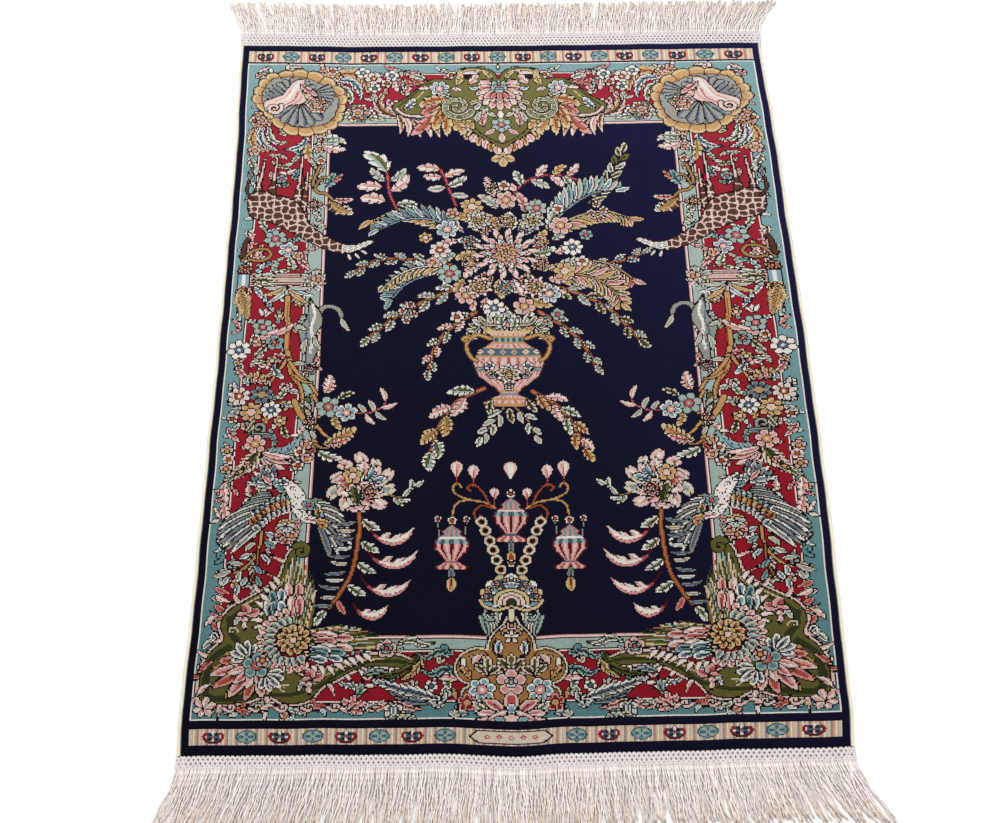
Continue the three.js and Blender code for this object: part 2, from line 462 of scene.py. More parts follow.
def scroll(x, y, size, start, turns, colour, radius, edge, hand=1):
    """A spiral wound from its outer end, at the angle start, in to its eye."""
    share = np.linspace(0, 1, int(7 * size * turns))
    angle = start + hand * 2 * np.pi * turns * share
    far = size * (1 - 0.92 * share) ** 0.9
    path = np.stack([x + far * np.cos(angle), y + far * np.sin(angle)], 1)
    stroke(path, colour, radius, edge, 0.6)


def feathers(roots, tips, width, tones, count, bend, core=0.45):
    """Feathers from points along one curve to points along another."""
    feet, ends = smooth(roots), smooth(tips)
    for n in range(count):
        share = n / (count - 1)
        foot = feet[int(share * (len(feet) - 1))]
        along, up = ends[int(share * (len(ends) - 1))] - foot
        reach, heading = np.hypot(along, up), np.arctan2(up, along)
        leaf(*foot, heading, reach, width, tones[n % len(tones)], bend, 0, 1.1, core)


def flutes(x, y, heading, spread, size, count):
    """Grey ribs fanned out from a point with rounded ends."""
    part, dx, dy = window(x, y, size + 2 * LINE)
    far = np.hypot(dx, dy)
    turn = (np.arctan2(dy, dx) - heading + np.pi) % (2 * np.pi) - np.pi
    rib = (turn / spread + 0.5) * count % 1
    edge = size * (0.9 + 0.1 * np.sin(np.pi * rib))
    inside = (np.abs(turn) < spread / 2) & (far < edge)
    dye(part, (np.abs(turn) < spread / 2 + LINE / np.maximum(far, LINE)) & (far < edge + LINE), "ink")
    dye(part, inside, "grey")
    dye(part, inside & (rib > 0.66), "slate")
    dye(part, inside & (np.minimum(rib, 1 - rib) * far * spread / count < 0.62 * LINE), "ink")


def scales(points, tones, size, count, lean):
    """Short rounded feathers overlapping along a curve."""
    path = smooth(points)
    heading = headings(path)
    for n in range(count):
        k = int((n + 0.5) / count * (len(path) - 1))
        leaf(*path[k], heading[k] + lean, size, 0.85 * size, tones[n % len(tones)], 0.1, 0, 0.6, 0.6)


def spots(part, dx, dy, where, ground, colour, pitch, gap):
    """Irregular patches of one colour parted by lines of another."""
    dye(part, where, ground)
    rng = np.random.default_rng(5)
    reach = max(np.abs(dx).max(), np.abs(dy).max())
    steps = np.arange(-reach, reach, pitch)
    seeds = np.array([(x, y) for x in steps for y in steps])
    seeds = seeds + rng.uniform(-0.33, 0.33, seeds.shape) * pitch
    first = np.full(dx.shape, 1e9)
    second = np.full(dx.shape, 1e9)
    for x, y in seeds:
        far = np.hypot(dx - x, dy - y)
        second = np.minimum(second, np.maximum(first, far))
        first = np.minimum(first, far)
    dye(part, where & (second - first > gap), colour)


def flowers(rows, turn=0.2):
    """Flowers from (x, y, size, tones, petals) rows."""
    for x, y, size, tones, petals in rows:
        flower(x, y, size, tones, petals, turn + 0.03 * x)


def leaves(rows, width):
    """Leaves from (x, y, heading, length, tones) rows, turned to the left and right by turns."""
    for n, (x, y, heading, length, tones) in enumerate(rows):
        leaf(x, y, heading, length, min(width, 0.48 * length), tones, 0.3 if n % 2 else -0.3, 3)


# The border

def ground():
    """The stripes of the borders and the plain field."""
    for stripe in STRIPES:
        block(*stripe)


def end_band(near, far, first, step, count):
    """A flat-woven stripe of narrow ribs with red and teal roundels in turn."""
    rows = np.nonzero((ROW_Y > near) & (ROW_Y < far))[0]
    columns = np.nonzero(np.abs(COLUMN_X) < BAND_HALF_WIDTH)[0]
    ribs = [NUMBER[name] for name in ("cream", "blush", "flax", "white", "flax", "pink", "grey")]
    for n, column in enumerate(columns):
        knots[rows, column] = ribs[n % len(ribs)]
    middle = (near + far) / 2
    for n in range(count):
        red = n % 2 == 0
        wide, long = (10.2, 8.4) if red else (10.0, 7.6)
        part, dx, dy = window(first + step * n, middle, wide + 2)
        off = np.hypot(dx / wide, dy / long)
        star = np.abs(np.sin(2 * np.arctan2(dy, dx)))
        if red:
            dye(part, (off < 1) & (dy < 0.55 * long), "red")
            dye(part, (off < 1) & (dy < -0.5 * long), "wine")
            dye(part, (off < 0.7) & (star > 0.5), "deep")
            dye(part, (off < 0.6) & (star > 0.8), "ink")
            dye(part, (off < 0.7) & (star < 0.5), "white")
            dye(part, (off < 0.55) & (np.abs(dy) < 1.0), "slate")
            dye(part, off < 0.16, "rose")
        else:
            dye(part, off < 1, "deep")
            dye(part, off < 0.84, "teal")
            dye(part, (off < 0.8) & (star > 0.75), "aqua")
            dye(part, (off < 0.66) & (np.minimum(np.abs(dx), np.abs(dy)) < 1.0), "slate")
            dye(part, off < 0.2, "aqua")


def plain_label():
    """The pointed cream panel in the middle of the near band, left plain but for small lozenges."""
    middle = sum(NEAR_BAND) / 2
    part, dx, dy = window(0, middle, 42)
    inside = np.abs(dy) < np.minimum(8.0, (40 - np.abs(dx)) * 0.9)
    core = np.abs(dy) < np.minimum(6.2, (37 - np.abs(dx)) * 0.9)
    dye(part, inside, "ink")
    dye(part, core, "cream")
    for n in range(-2, 3):
        dye(part, np.abs(dx - 11.0 * n) + np.abs(dy) < 3.4, "rose")
        dye(part, np.abs(dx - 11.0 * n) + np.abs(dy) < 1.6, "cream")


def flora(rng):
    """Small flowers, leaves and curls on the left half's red and along its two pale stripes."""
    red = knots == NUMBER["red"]
    outer = (knots == NUMBER["teal"]) & ((np.abs(COLUMN_X) < 287) & (ROW_Y[:, None] < 413))
    inner = (knots == NUMBER["aqua"]) & (np.abs(COLUMN_X) > 204)
    placed = np.empty((0, 2))
    sown = ((outer, 17.0, stripe_motif), (inner, 21.0, stripe_motif), (red, 16.5, red_motif))
    for ground_kind, spacing, makes in sown:
        rows, columns = np.nonzero(ground_kind & (COLUMN_X < 3))
        for k in rng.permutation(len(rows)):
            spot = np.array([COLUMN_X[columns[k]], ROW_Y[rows[k]]])
            if len(placed) and np.hypot(*(placed - spot).T).min() < spacing:
                continue
            placed = np.vstack([placed, spot])
            makes(rng, *spot)


def stripe_motif(rng, x, y):
    """A leaf, a curl or a small blossom along a stripe."""
    upright = rng.choice([-1, 1]) * np.pi / 2
    along = upright if abs(x) > 200 and -380 < y < 390 else upright + np.pi / 2
    heading = along + rng.uniform(-0.4, 0.4)
    kind = rng.integers(0, 5)
    if kind == 0:
        flower(x, y, rng.uniform(4.4, 5.6), ("rose", "cream", "sky")[rng.integers(0, 3)], 5, heading)
        leaf(x, y - 4, heading, 10, 4.4, "sage", 0.3)
    elif kind == 1:
        tendril(x, y, heading, 18, "white", 0.8, rng.choice([-1, 1]), 1.0)
    else:
        tone = ("pale", "shell", "sage", "rose")[rng.integers(0, 4)]
        leaf(x, y, heading, rng.uniform(12, 17), 5.4, tone, rng.choice([-0.4, 0.4]), 3)
        leaf(x, y, heading + 1.3, 8, 4.2, tone, 0.4)


def red_motif(rng, x, y):
    """A sprig, a curled leaf or a small flower on the red."""
    heading = rng.uniform(0, 2 * np.pi)
    tone = ("sage", "blue", "rose", "pale", "olive", "shell", "teal", "gold")[rng.integers(0, 8)]
    kind = rng.integers(0, 7)
    if kind < 2:
        for side in (-1, 1):
            leaf(x, y, heading + side * 1.2, 9.5, 4.6, tone, side * 0.3)
        size = rng.uniform(5.0, 6.6)
        flower(x, y, size, ("rose", "sky", "cream", "gold", "daisy")[rng.integers(0, 5)], 5, heading)
    elif kind < 5:
        leaf(x, y, heading, rng.uniform(13, 18), 6.4, tone, rng.choice([-0.45, 0.45]), 4)
        leaf(x, y, heading + 1.4, 8.5, 4.2, tone, 0.4)
    elif kind == 5:
        tendril(x, y, heading, 20, "cream", 0.8, rng.choice([-1, 1]), 1.05)
        leaf(x, y, heading + 2.4, 9, 4.2, tone, 0.3)
    else:
        for turn in (-0.7, 0.0, 0.7):
            leaf(x, y, heading + turn, 10, 4.0, tone, 0.1)


# How far the shell reaches round its middle, by the angle in degrees, as a share of its half width.
SHELL_REACH = [
    (-180, 0.98), (-165, 0.88), (-141, 0.84), (-120, 0.94), (-97, 1.02), (-64, 1.03), (-51, 1.09),
    (-37, 1.1), (-16, 1.05), (8, 1.08), (21, 1.05), (34, 0.98), (60, 0.97), (94, 1.03), (114, 1.05),
    (130, 1.13), (150, 1.04), (180, 0.98),
]


def far_corner():
    """A scalloped gilt shell with grey flutes round a curled rose leaf."""
    x, y, wide, long = -234.0, 358.0, 54.0, 51.0
    part, dx, dy = window(x, y, wide + 12)
    round_to = np.arctan2(dy / long, dx / wide)
    angles, reaches = zip(*SHELL_REACH)
    far = np.hypot(dx / wide, dy / long) / np.interp(np.degrees(round_to), angles, reaches)
    scallop = np.abs(np.sin(9.5 * round_to + 0.9 * np.sin(2 * round_to + 1.0)))
    edge = 0.92 + 0.08 * scallop**0.6 - 0.03 * np.cos(3 * round_to + 0.4)
    heart = 0.77 - 0.04 * np.sin(2 * round_to - 0.6) + 0.03 * scallop
    dye(part, far < edge + 0.03, "ink")
    dye(part, far < edge, "gold")
    dye(part, (far < edge - 0.02) & (far > edge - 0.07), "flax")
    dye(part, (far < heart + 0.05) & (scallop < 0.6), "tan")
    dye(part, (far < edge - 0.02) & (scallop < 0.13), "brown")
    dye(part, far < heart, "ink")
    dye(part, far < heart - 0.025, "grey")
    flutes(x - 6, y + 6, 1.5, 1.9, 31, 6)
    feathers([(-256, 352), (-250, 366)], [(-272, 362), (-270, 376), (-262, 386)], 4.6, ["dusk"], 5, 0.15)
    flutes(-233, 357, -1.8, 2.3, 37, 7)
    flutes(-223, 369, -0.1, 1.5, 30, 7)
    rose_leaf = [
        (-262, 337), (-272, 344), (-274, 356), (-264, 363), (-254, 368), (-248, 378), (-240, 391),
        (-229, 393), (-228, 384), (-231, 373), (-225, 361), (-233, 353), (-244, 352), (-252, 343),
    ]
    region(rose_leaf, "blush")
    curve([(-258, 358), (-247, 364), (-240, 376), (-234, 388)], "white", 2.2)
    curve([(-262, 357), (-250, 364), (-244, 376)], "pink", 1.0)
    curve([(-250, 352), (-240, 360), (-235, 374)], "rose", 1.0)
    curve([(-240, 354), (-232, 362), (-230, 370)], "pink", 1.2)
    scroll(-262, 347, 9, 0.6, 1.5, "blush", 2.0, "ink", -1)
    leaf(-233, 386, -0.9, 27, 9, "rose", 0.15, 3)
    leaf(-226, 372, -1.2, 18, 7, "shell", 0.3, 2)
    bunch(-212, 352, 10, ["rose", "cream"], 6)


def beside_far_corner():
    """Blossoms and curled leaves right of the shell and below it."""
    acanthus([(-192, 403), (-173, 405), (-158, 394), (-153, 370)], 18, "gold", 8)
    acanthus([(-192, 393), (-176, 393), (-165, 381), (-162, 360)], 14, "blue", 7)
    acanthus([(-192, 384), (-181, 380), (-174, 368), (-174, 352)], 11, "sage", 5)
    bunch(-200, 399, 13, ["rose", "cream"], 6)
    bunch(-196, 383, 8, ["cream", "rose"], 5, 0.5)
    flowers(((-160, 405, 8.5, "daisy", 5), (-147, 396, 9.5, "cream", 5), (-146, 380, 7, "daisy", 5)))
    leaf(-140, 404, -0.5, 15, 7, "sage", 0.3, 3)
    flowers(((-126, 400, 8.5, "daisy", 5), (-117, 389, 6.5, "sky", 5), (-132, 388, 6.5, "cream", 5)))
    leaf(-122, 392, -1.7, 17, 7, "shell", 0.3, 3)
    leaf(-110, 407, -0.7, 18, 8, "rose", 0.3, 3)
    leaf(-101, 398, -1.2, 20, 9, "flame", 0.4, 4)
    leaf(-112, 372, 0.9, 18, 8, "rose", 0.3, 3)
    bunch(-166, 341, 12, ["rose", "cream", "slate"], 6)
    leaf(-190, 333, 0.3, 18, 8, "sage", 0.3, 3)
    leaf(-154, 333, 0.1, 19, 7, "sage", -0.3, 3)
    acanthus([(-120, 334), (-136, 344), (-142, 358), (-134, 374)], 20, "husk", 6)
    acanthus([(-120, 340), (-130, 352), (-130, 364)], 9, "shell", 3)
    bunch(-276, 328, 12, ["rose", "cream"], 6)
    acanthus([(-284, 318), (-287, 300), (-279, 288), (-264, 283)], 13, "gold", 6)
    acanthus([(-277, 318), (-277, 302), (-268, 290), (-255, 285)], 11, "blue", 6)
    acanthus([(-268, 318), (-266, 304), (-258, 296), (-244, 296)], 10, "sage", 5)
    acanthus([(-226, 306), (-226, 296), (-236, 288), (-250, 286)], 12, "blue", 5)
    leaf(-222, 296, -1.7, 30, 10, "straw", 0.3, 4)
    flower(-283, 284, 7.5, "rose", 5)
    leaf(-287, 276, -1.4, 22, 9, "sage", 0.3, 4)
    leaf(-284, 258, -1.8, 18, 7, "teal", 0.3, 3)
    for n, y in enumerate((308, 298, 287, 270, 259)):
        flower(-209 + 2 * (n % 2), y, 5.4, ("rose", "cream")[n % 2], 5)
    leaf(-206, 302, 0.2, 26, 12, "sage", -0.4, 4)
    leaf(-206, 298, -0.25, 24, 10, "pale", 0.4, 4)
    leaf(-206, 292, -0.5, 26, 11, "shell", 0.35, 4)


def far_cartouche():
    """A lobed olive panel hanging into the field, with scrolls and a lotus."""
    leaf(-86, 394, 2.6, 20, 8, "sage", 0.3, 3)
    leaf(-96, 384, 2.9, 18, 7, "flame", -0.3, 3)
    panel = [
        (0, 394), (-5, 405), (-14, 411), (-28, 413), (-42, 410), (-51, 402), (-56, 394), (-73, 395),
        (-88, 388), (-99, 376), (-110, 364), (-125, 352), (-122, 341), (-108, 333), (-88, 330), (-70, 330),
        (-54, 330), (-39, 328), (-35, 316), (-25, 305), (-13, 297), (0, 288),
    ]
    frill([(-124, 340), (-104, 330), (-80, 327)], ["husk", "shell"], 25, 8.5, 5, -1, 0.5)
    curve([(0, 290), (0, 278), (0, 270)], "gold", 2.6, "brown")
    for heading in (-2.85, -0.29, -UP):
        leaf(0, 275, heading, 14, 10, "straw", 0.0, 0, 0.9, 0.4)
    for n in range(6):
        leaf(-36 + 6 * n, 312 - 4 * n, -2.2 + 0.12 * n, 13, 9, ("gold", "shell")[n % 2], 0.1, 0, 0.7, 0.6)
    leaf(-33, 326, -2.25, 24, 15, "gold", 0.25, 2, 0.5, 0.6)
    leaf(-38, 318, -2.6, 14, 9, "shell", 0.35, 0, 0.6, 0.6)
    region(mirrored(panel), "olive")
    curve([(-31, 334), (-30, 318), (-21, 307), (-9, 299), (0, 294)], "ink", 0.7)
    curve([(-118, 351), (-104, 365), (-94, 378), (-82, 387), (-62, 388)], "moss", 1.4)
    curve([(-110, 350), (-98, 362), (-88, 375)], "flax", 0.7)
    curve([(-121, 347), (-112, 338), (-98, 335), (-84, 336)], "blush", 1.5, "ink")
    region([(-40, 409), (-33, 401), (-24, 399), (-29, 393), (-38, 394), (-43, 401)], "ink")
    leaf(-50, 384, 1.0, 24, 9, "straw", 0.45, 2)
    leaf(-36, 386, 0.7, 24, 9, "shell", 0.45, 2)
    leaf(-24, 402, 2.75, 17, 6, "shell", 0.35)
    leaf(-8, 394, 1.9, 17, 7, "straw", 0.35, 2)
    curve([(-46, 400), (-40, 407), (-28, 409), (-16, 407)], "flax", 0.8)
    flower(-70, 379, 12, "blue", 7)
    leaf(-82, 379, 2.9, 13, 6, "shell", 0.3, 2)
    leaf(-56, 378, 0.1, 12, 6, "shell", -0.3, 2)
    leaf(-82, 366, -2.2, 16, 7, "sage", 0.3, 3)
    leaf(-58, 366, 2.4, 14, 7, "sage", 0.4, 3)
    leaf(-112, 345, 0.75, 22, 9, "blue", 0.2, 4)
    leaf(-96, 350, 0.4, 14, 6, "straw", -0.4, 2)
    leaf(-62, 362, -3.1, 34, 15, "gold", 0.3, 4)
    leaf(-70, 352, -2.85, 26, 12, "flame", 0.3, 3)
    leaf(-46, 330, -0.55, 20, 10, "straw", -0.2, 3)
    leaf(-70, 350, -2.05, 54, 16, "flame", -0.2, 5)
    leaf(-58, 340, -1.3, 36, 14, "straw", 0.2, 4)
    leaf(-66, 354, -1.95, 42, 15, "gold", 0.1, 4)
    leaf(-62, 350, -1.6, 44, 13, "gold", 0.0, 4)
    leaf(-63, 356, -1.75, 30, 11, "ember", 0.0, 3)
    scroll(-50, 350, 18, -0.5, 1.55, "cream", 4.4, "ink", -1)
    for colour, radius in (("olive", 3.2), ("aqua", 1.2), ("moss", 0.5)):
        scroll(-50, 350, 18, -0.5, 1.55, colour, radius, None, -1)
    scroll(-26, 350, 8, 2.4, 1.1, "cream", 2.6, "ink", -1)
    scroll(-26, 350, 8, 2.4, 1.1, "olive", 1.4, None, -1)
    for n in outside_in(15):
        heading = -UP + 0.31 * (n - 7)
        reach = 37 - 1.9 * abs(n - 7)
        leaf(0, 379, heading, reach, 8.5, ("rose", "shell")[n % 2], 0.0, 0, 1.7, 0.5)
    for n in outside_in(11):
        leaf(0, 380, -UP + 0.4 * (n - 5), 25, 8, ("shell", "rose")[n % 2], 0.0, 0, 1.5, 0.5)
    for heading in (-2.2, -UP, -0.94):
        leaf(0, 376, heading, 17, 5.4, "flame", 0.0, 0, 1.0)
    flower(0, 382, 10, "sky", 6)
    flower(0, 382, 5.5, "teal", 5)
    leaf(-24, 376, 2.6, 12, 6, "blue", 0.2)
    leaf(-22, 353, -2.5, 11, 6, "blue", 0.2)
    leaf(-15, 347, -2.2, 11, 6, "pale", 0.2)
    leaf(-21, 320, 1.75, 20, 9, "rose", -0.45, 2)
    leaf(-27, 326, 1.75, 15, 7, "pale", -0.45)
    flower(0, 322, 11, "sky", 6, 0.52)
    leaf(0, 331, UP, 13, 7, "shell", 0.0, 0, 0.7)
    for side in (-1, 1):
        leaf(side * 8, 316, -UP + side * 0.8, 13, 5.4, "rose", side * 0.2)
        leaf(side * 7, 334, UP - side * 0.7, 11, 5.4, "sage", -side * 0.2)
    leaf(0, 310, -UP, 14, 7, "shell", 0.0, 0, 0.7)


def spotted_animal():
    """A long-necked spotted animal that stretches from the side border into the field."""
    for x, y, foot_x, foot_y, wide in (
        (-277, 214, -270, 270, 6), (-261, 214, -256, 272, 6), (-231, 206, -228, 274, 5.5),
        (-224, 200, -221, 252, 3.5),
    ):
        knee_x, knee_y = x + 0.45 * (foot_x - x), y + 0.45 * (foot_y - y)
        leg = [
            (x - wide, y), (knee_x - 2.4, knee_y), (foot_x - 1.1, foot_y), (foot_x + 1.1, foot_y),
            (knee_x + 2.4, knee_y), (x + wide, y),
        ]
        region(leg, "flax", 0.8)
    shape = [
        (-283, 222), (-268, 226), (-255, 220), (-241, 217), (-229, 208), (-222, 194), (-215, 180),
        (-205, 169), (-194, 161), (-181, 153), (-168, 150), (-150, 157), (-144, 154), (-156, 145),
        (-168, 139), (-183, 138), (-202, 146), (-216, 155), (-231, 165), (-246, 174), (-260, 182),
        (-281, 190), (-286, 206),
    ]
    region(shape, "flax", 0.9)
    part, dx, dy = window(-213, 186, 92)
    inside = (part == NUMBER["flax"]) & ((dx + dy < 62) | (dx < 40))
    dye(part, inside, "blush")
    spots(part, dx, dy, inside & (dy < 54), "blush", "brown", 8.8, 1.5)
    head = inside & (dx > 34)
    dye(part, head, "white")
    dye(part, head & (np.sin(1.9 * dx) * np.sin(1.7 * dy + dx) > 0.35), "ink")
    for foot_x, foot_y, heading in ((-172, 137, -1.3), (-165, 138, -1.0), (-158, 142, -0.7)):
        leaf(foot_x, foot_y, heading, 9, 3.0, "shell")
    curve([(-281, 214), (-288, 226), (-286, 244)], "brown", 1.0, "ink")
    leaf(-286, 242, 1.5, 12, 4.4, "dusk")


def around_animal():
    """Flowers and sprigs round the spotted animal."""
    leaves(
        (
            (-262, 172, 2.4, 17, "sage"), (-266, 150, -1.9, 17, "straw"), (-226, 156, 0.4, 15, "sage"),
            (-236, 132, -1.4, 18, "sage"), (-228, 128, -0.5, 20, "rose"), (-238, 242, 0.9, 16, "teal"),
            (-252, 250, -1.3, 16, "blue"), (-256, 238, 0.2, 13, "sage"), (-268, 128, 1.9, 15, "shell"),
        ),
        8,
    )
    flowers(((-252, 158, 12.5, "sky", 7), (-237, 142, 11, "blue", 6)))
    flowers(((-226, 134, 6, "rose", 5), (-250, 243, 6, "teal", 5)))
    curve([(-287, 126), (-276, 140), (-262, 143), (-256, 134), (-266, 126), (-280, 128)], "tan", 1.5, "ink")
    curve([(-287, 132), (-284, 152), (-278, 166)], "brown", 2.4, "ink", 0.3)
    leaf(-280, 158, 1.2, 13, 8, "shell", 0.3, 3)
    curve([(-208, 262), (-214, 240), (-210, 226), (-198, 222), (-190, 212)], "tan", 1.3, "ink")
    curve([(-212, 232), (-206, 244), (-198, 246)], "tan", 1.0, "ink")
    leaf(-200, 232, 0.9, 22, 12, "teal", 0.25, 4)
    leaf(-192, 240, 0.5, 14, 6, "flame", 0.4, 3)
    leaf(-196, 214, -0.9, 32, 17, "straw", 0.3, 6)
    leaf(-190, 216, -0.4, 20, 8, "rose", 0.4, 4)
    bunch(-212, 208, 7, ["rose", "cream"], 4)
    for n, y in enumerate((196, 184, 172)):
        leaf(-206, y, -1.9 + 0.6 * (n % 2), 13, 6, ("sage", "pale", "blue")[n], 0.3, 3)


def columns():
    """A bundle of slim columns lying across the border, with blossoms at both its ends."""
    bands = (
        "ink", "blush", "wine", "blush", "ink", "pink", "blush", "grey", "blush", "pink", "ink", "blush",
        "wine", "blush", "ink",
    )
    part, dx, dy = window(-246, 99, 44)
    level = np.clip(((dy + 9.8) / 19.6 * len(bands)).astype(int), 0, len(bands) - 1)
    inside = (np.abs(dx) < 34) & (np.abs(dy) < 9.8)
    for n, tone in enumerate(bands):
        dye(part, inside & (level == n), tone)
    for side in (-1, 1):
        leaf(-272, 99 + side * 5, side * 0.12, 22, 6.5, "sage", 0.0, 2)
        leaf(-272, 99 + side * 10, side * 0.6, 16, 6.5, "blue", side * 0.4, 2)
        flower(-283, 99 + side * 14, 8, "gold", 6)
        flower(-283, 99 + side * 14, 4.6, "red", 5)
    leaf(-274, 99, 0.0, 26, 8, "olive", 0.0, 3)
    part, dx, dy = window(-284, 99, 12)
    dye(part, (np.abs(dx) < 7) & (np.abs(dy) < 8.5), "ink")
    dye(part, (np.abs(dx) < 5.8) & (np.abs(dy) < 7.4), "sky")
    dye(part, (np.abs(dx) < 1.8) & (np.abs(dy) < 7.4), "white")
    for heading in (2.4, 1.2, 0.4, -0.4, -1.2, -2.4):
        leaf(-209, 99, heading, 15, 8, ("sage", "pale")[heading > 0], 0.2, 2)
    flower(-203, 100, 7, "rose", 5)


def grey_animal():
    """A slim grey animal that climbs the inner stripe, its tail curled into the field."""
    curve([(-201, 56), (-196, 63), (-187, 64), (-179, 58), (-176, 46), (-168, 34)], "grey", 2.4, "ink", 0.2)
    leaf(-178, 50, -1.2, 20, 5.5, "pale", 0.15)
    shape = [
        (-211, 76), (-206, 66), (-199, 56), (-196, 42), (-202, 28), (-199, 12), (-204, -6), (-206, -18),
        (-212, -16), (-212, 4), (-218, 18), (-221, 34), (-214, 48), (-212, 62),
    ]
    region(shape, "grey", 0.8)
    curve([(-208, 66), (-205, 52), (-208, 38), (-206, 20), (-208, 4)], "white", 1.6)
    curve([(-212, 56), (-210, 40), (-213, 28), (-210, 12)], "slate", 0.8)
    for n in range(4):
        curve([(-216 + n, 30 - 7 * n), (-206, 28 - 7 * n)], "slate", 0.5)
    for x, y, heading in ((-213, 34, 2.6), (-212, 22, -2.0), (-204, 26, -1.5), (-211, -12, 2.9)):
        leaf(x, y, heading, 19, 5.5, "pale", 0.3)
    bunch(-207, -18, 6, ["sky", "cream"], 5)


def tree():
    """A gilt trunk that rises from its roots beside palm leaves, with blossoms along it."""
    for n in range(7):
        heading = -UP + (n - 3) * 0.36
        tone = ("pale", "straw", "blue")[n % 3]
        leaf(-235, 92, heading, 34 - 3.0 * abs(n - 3), 5.5, tone, 0.42 * np.sign(n - 3))
    curve([(-235, 76), (-235, 56), (-232, 36), (-233, 16), (-230, -2), (-228, -12)], "gold", 2.5, "ink", 0.1)
    curve([(-234, 70), (-234, 50), (-231, 30), (-231, 6)], "rust", 0.7)
    for root, thick in (
        ([(-231, -4), (-238, -18), (-246, -34)], 1.7),
        ([(-229, -6), (-226, -24), (-216, -42), (-212, -62)], 2.6),
        ([(-228, -10), (-218, -26), (-206, -38), (-198, -52)], 2.0),
        ([(-224, -26), (-214, -34), (-204, -36)], 1.4),
    ):
        curve(root, "gold", thick, "ink", 0.4)
    curve([(-226, -20), (-218, -40), (-214, -56)], "rust", 0.6)
    acanthus([(-286, 84), (-282, 66), (-276, 46)], 22, "straw", 10)
    leaves(
        (
            (-252, 16, -2.0, 20, "olive"), (-254, -6, -2.3, 14, "sage"), (-246, -12, -2.7, 15, "shell"),
            (-264, 40, 2.4, 12, "sage"),
        ),
        7,
    )
    acanthus([(-268, 20), (-252, 27), (-238, 32), (-222, 44)], 13, "shell", 5)
    flowers(((-259, 37, 10.5, "sky", 6), (-245, 17, 9.5, "teal", 5)))
    flowers(((-282, 7, 12.5, "daisy", 7), (-266, 22, 5.5, "cream", 5)))
    flower(-245, 17, 4, "red", 5)
    fan(-263, -38, 1.5, 17, "straw", 5, 1.7, 6, 2)
    fan(-263, -38, 1.5, 10, "rose", 3, 1.0, 4.5)
    leaf(-283, -14, -1.3, 22, 8, "rose", 0.4, 4)
    leaf(-246, -12, -1.3, 22, 8, "blue", 0.3, 3)
    flowers(
        (
            (-278, -54, 11.5, "cream", 8), (-255, -52, 11.5, "slate", 8), (-264, -74, 11.5, "gold", 8),
            (-244, -71, 10.5, "daisy", 8),
        )
    )
    flowers(((-234, -84, 6.5, "gold", 5), (-232, -42, 5.5, "rose", 5), (-282, -82, 5.5, "cream", 5)))
    leaves(
        (
            (-276, -66, -2.0, 18, "pale"), (-238, -58, 0.9, 17, "sage"), (-232, -66, 0.4, 15, "pale"),
            (-230, -90, -1.5, 16, "olive"), (-268, -40, 2.4, 12, "blue"),
        ),
        7.5,
    )


def bough():
    """The bough from the tree's foot that flowers into the field."""
    curve([(-221, -60), (-214, -76), (-204, -90), (-198, -104), (-198, -120)], "gold", 2.8, "ink", 0.2)
    curve([(-208, -58), (-206, -74), (-202, -92)], "olive", 3.0, "ink")
    for n in range(5):
        leaf(-210 + 2 * n, -60 - 9 * n, -1.1 - 0.2 * (n % 2), 12, 4, "pale", 0.1)
    curve([(-202, -52), (-196, -66), (-194, -80)], "gold", 1.7, "ink", 0.2)
    curve([(-198, -88), (-190, -98), (-182, -106)], "gold", 1.6, "ink", 0.4)
    curve([(-197, -112), (-190, -116), (-182, -116)], "tan", 1.3, "ink", 0.4)
    curve([(-199, -118), (-210, -130), (-222, -140)], "rose", 1.3, "ink", 0.4)
    bunch(-203, -86, 6, ["rose", "cream"], 4)
    leaf(-188, -112, 0.25, 36, 17, "straw", 0.3, 7)
    leaf(-184, -112, 0.1, 24, 8, "rose", 0.2, 5)
    leaf(-194, -120, -0.7, 25, 11, "sage", 0.35, 4)
    leaf(-190, -50, 1.1, 24, 13, "shell", 0.3, 5)
    leaf(-176, -58, 0.9, 18, 8, "olive", -0.4, 3)
    leaf(-180, -78, -1.4, 18, 8, "straw", 0.3, 3)
    flowers(((-186, -67, 13, "sky", 6), (-167, -74, 11, "blue", 6)), 0.1)
    path = [(-156, -75), (-142, -74), (-130, -66), (-127, -58)]
    curve(path, "rose", 1.0)
    for x, y, heading, length in (
        (-148, -75, 1.9, 13), (-139, -73, 1.7, 15), (-128, -60, 1.6, 18), (-132, -68, 0.0, 16),
        (-148, -75, -1.2, 16), (-138, -73, -1.0, 15),
    ):
        leaf(x, y, heading, length, 5.5, ("shell", "pale")[int(length) % 2], 0.3)


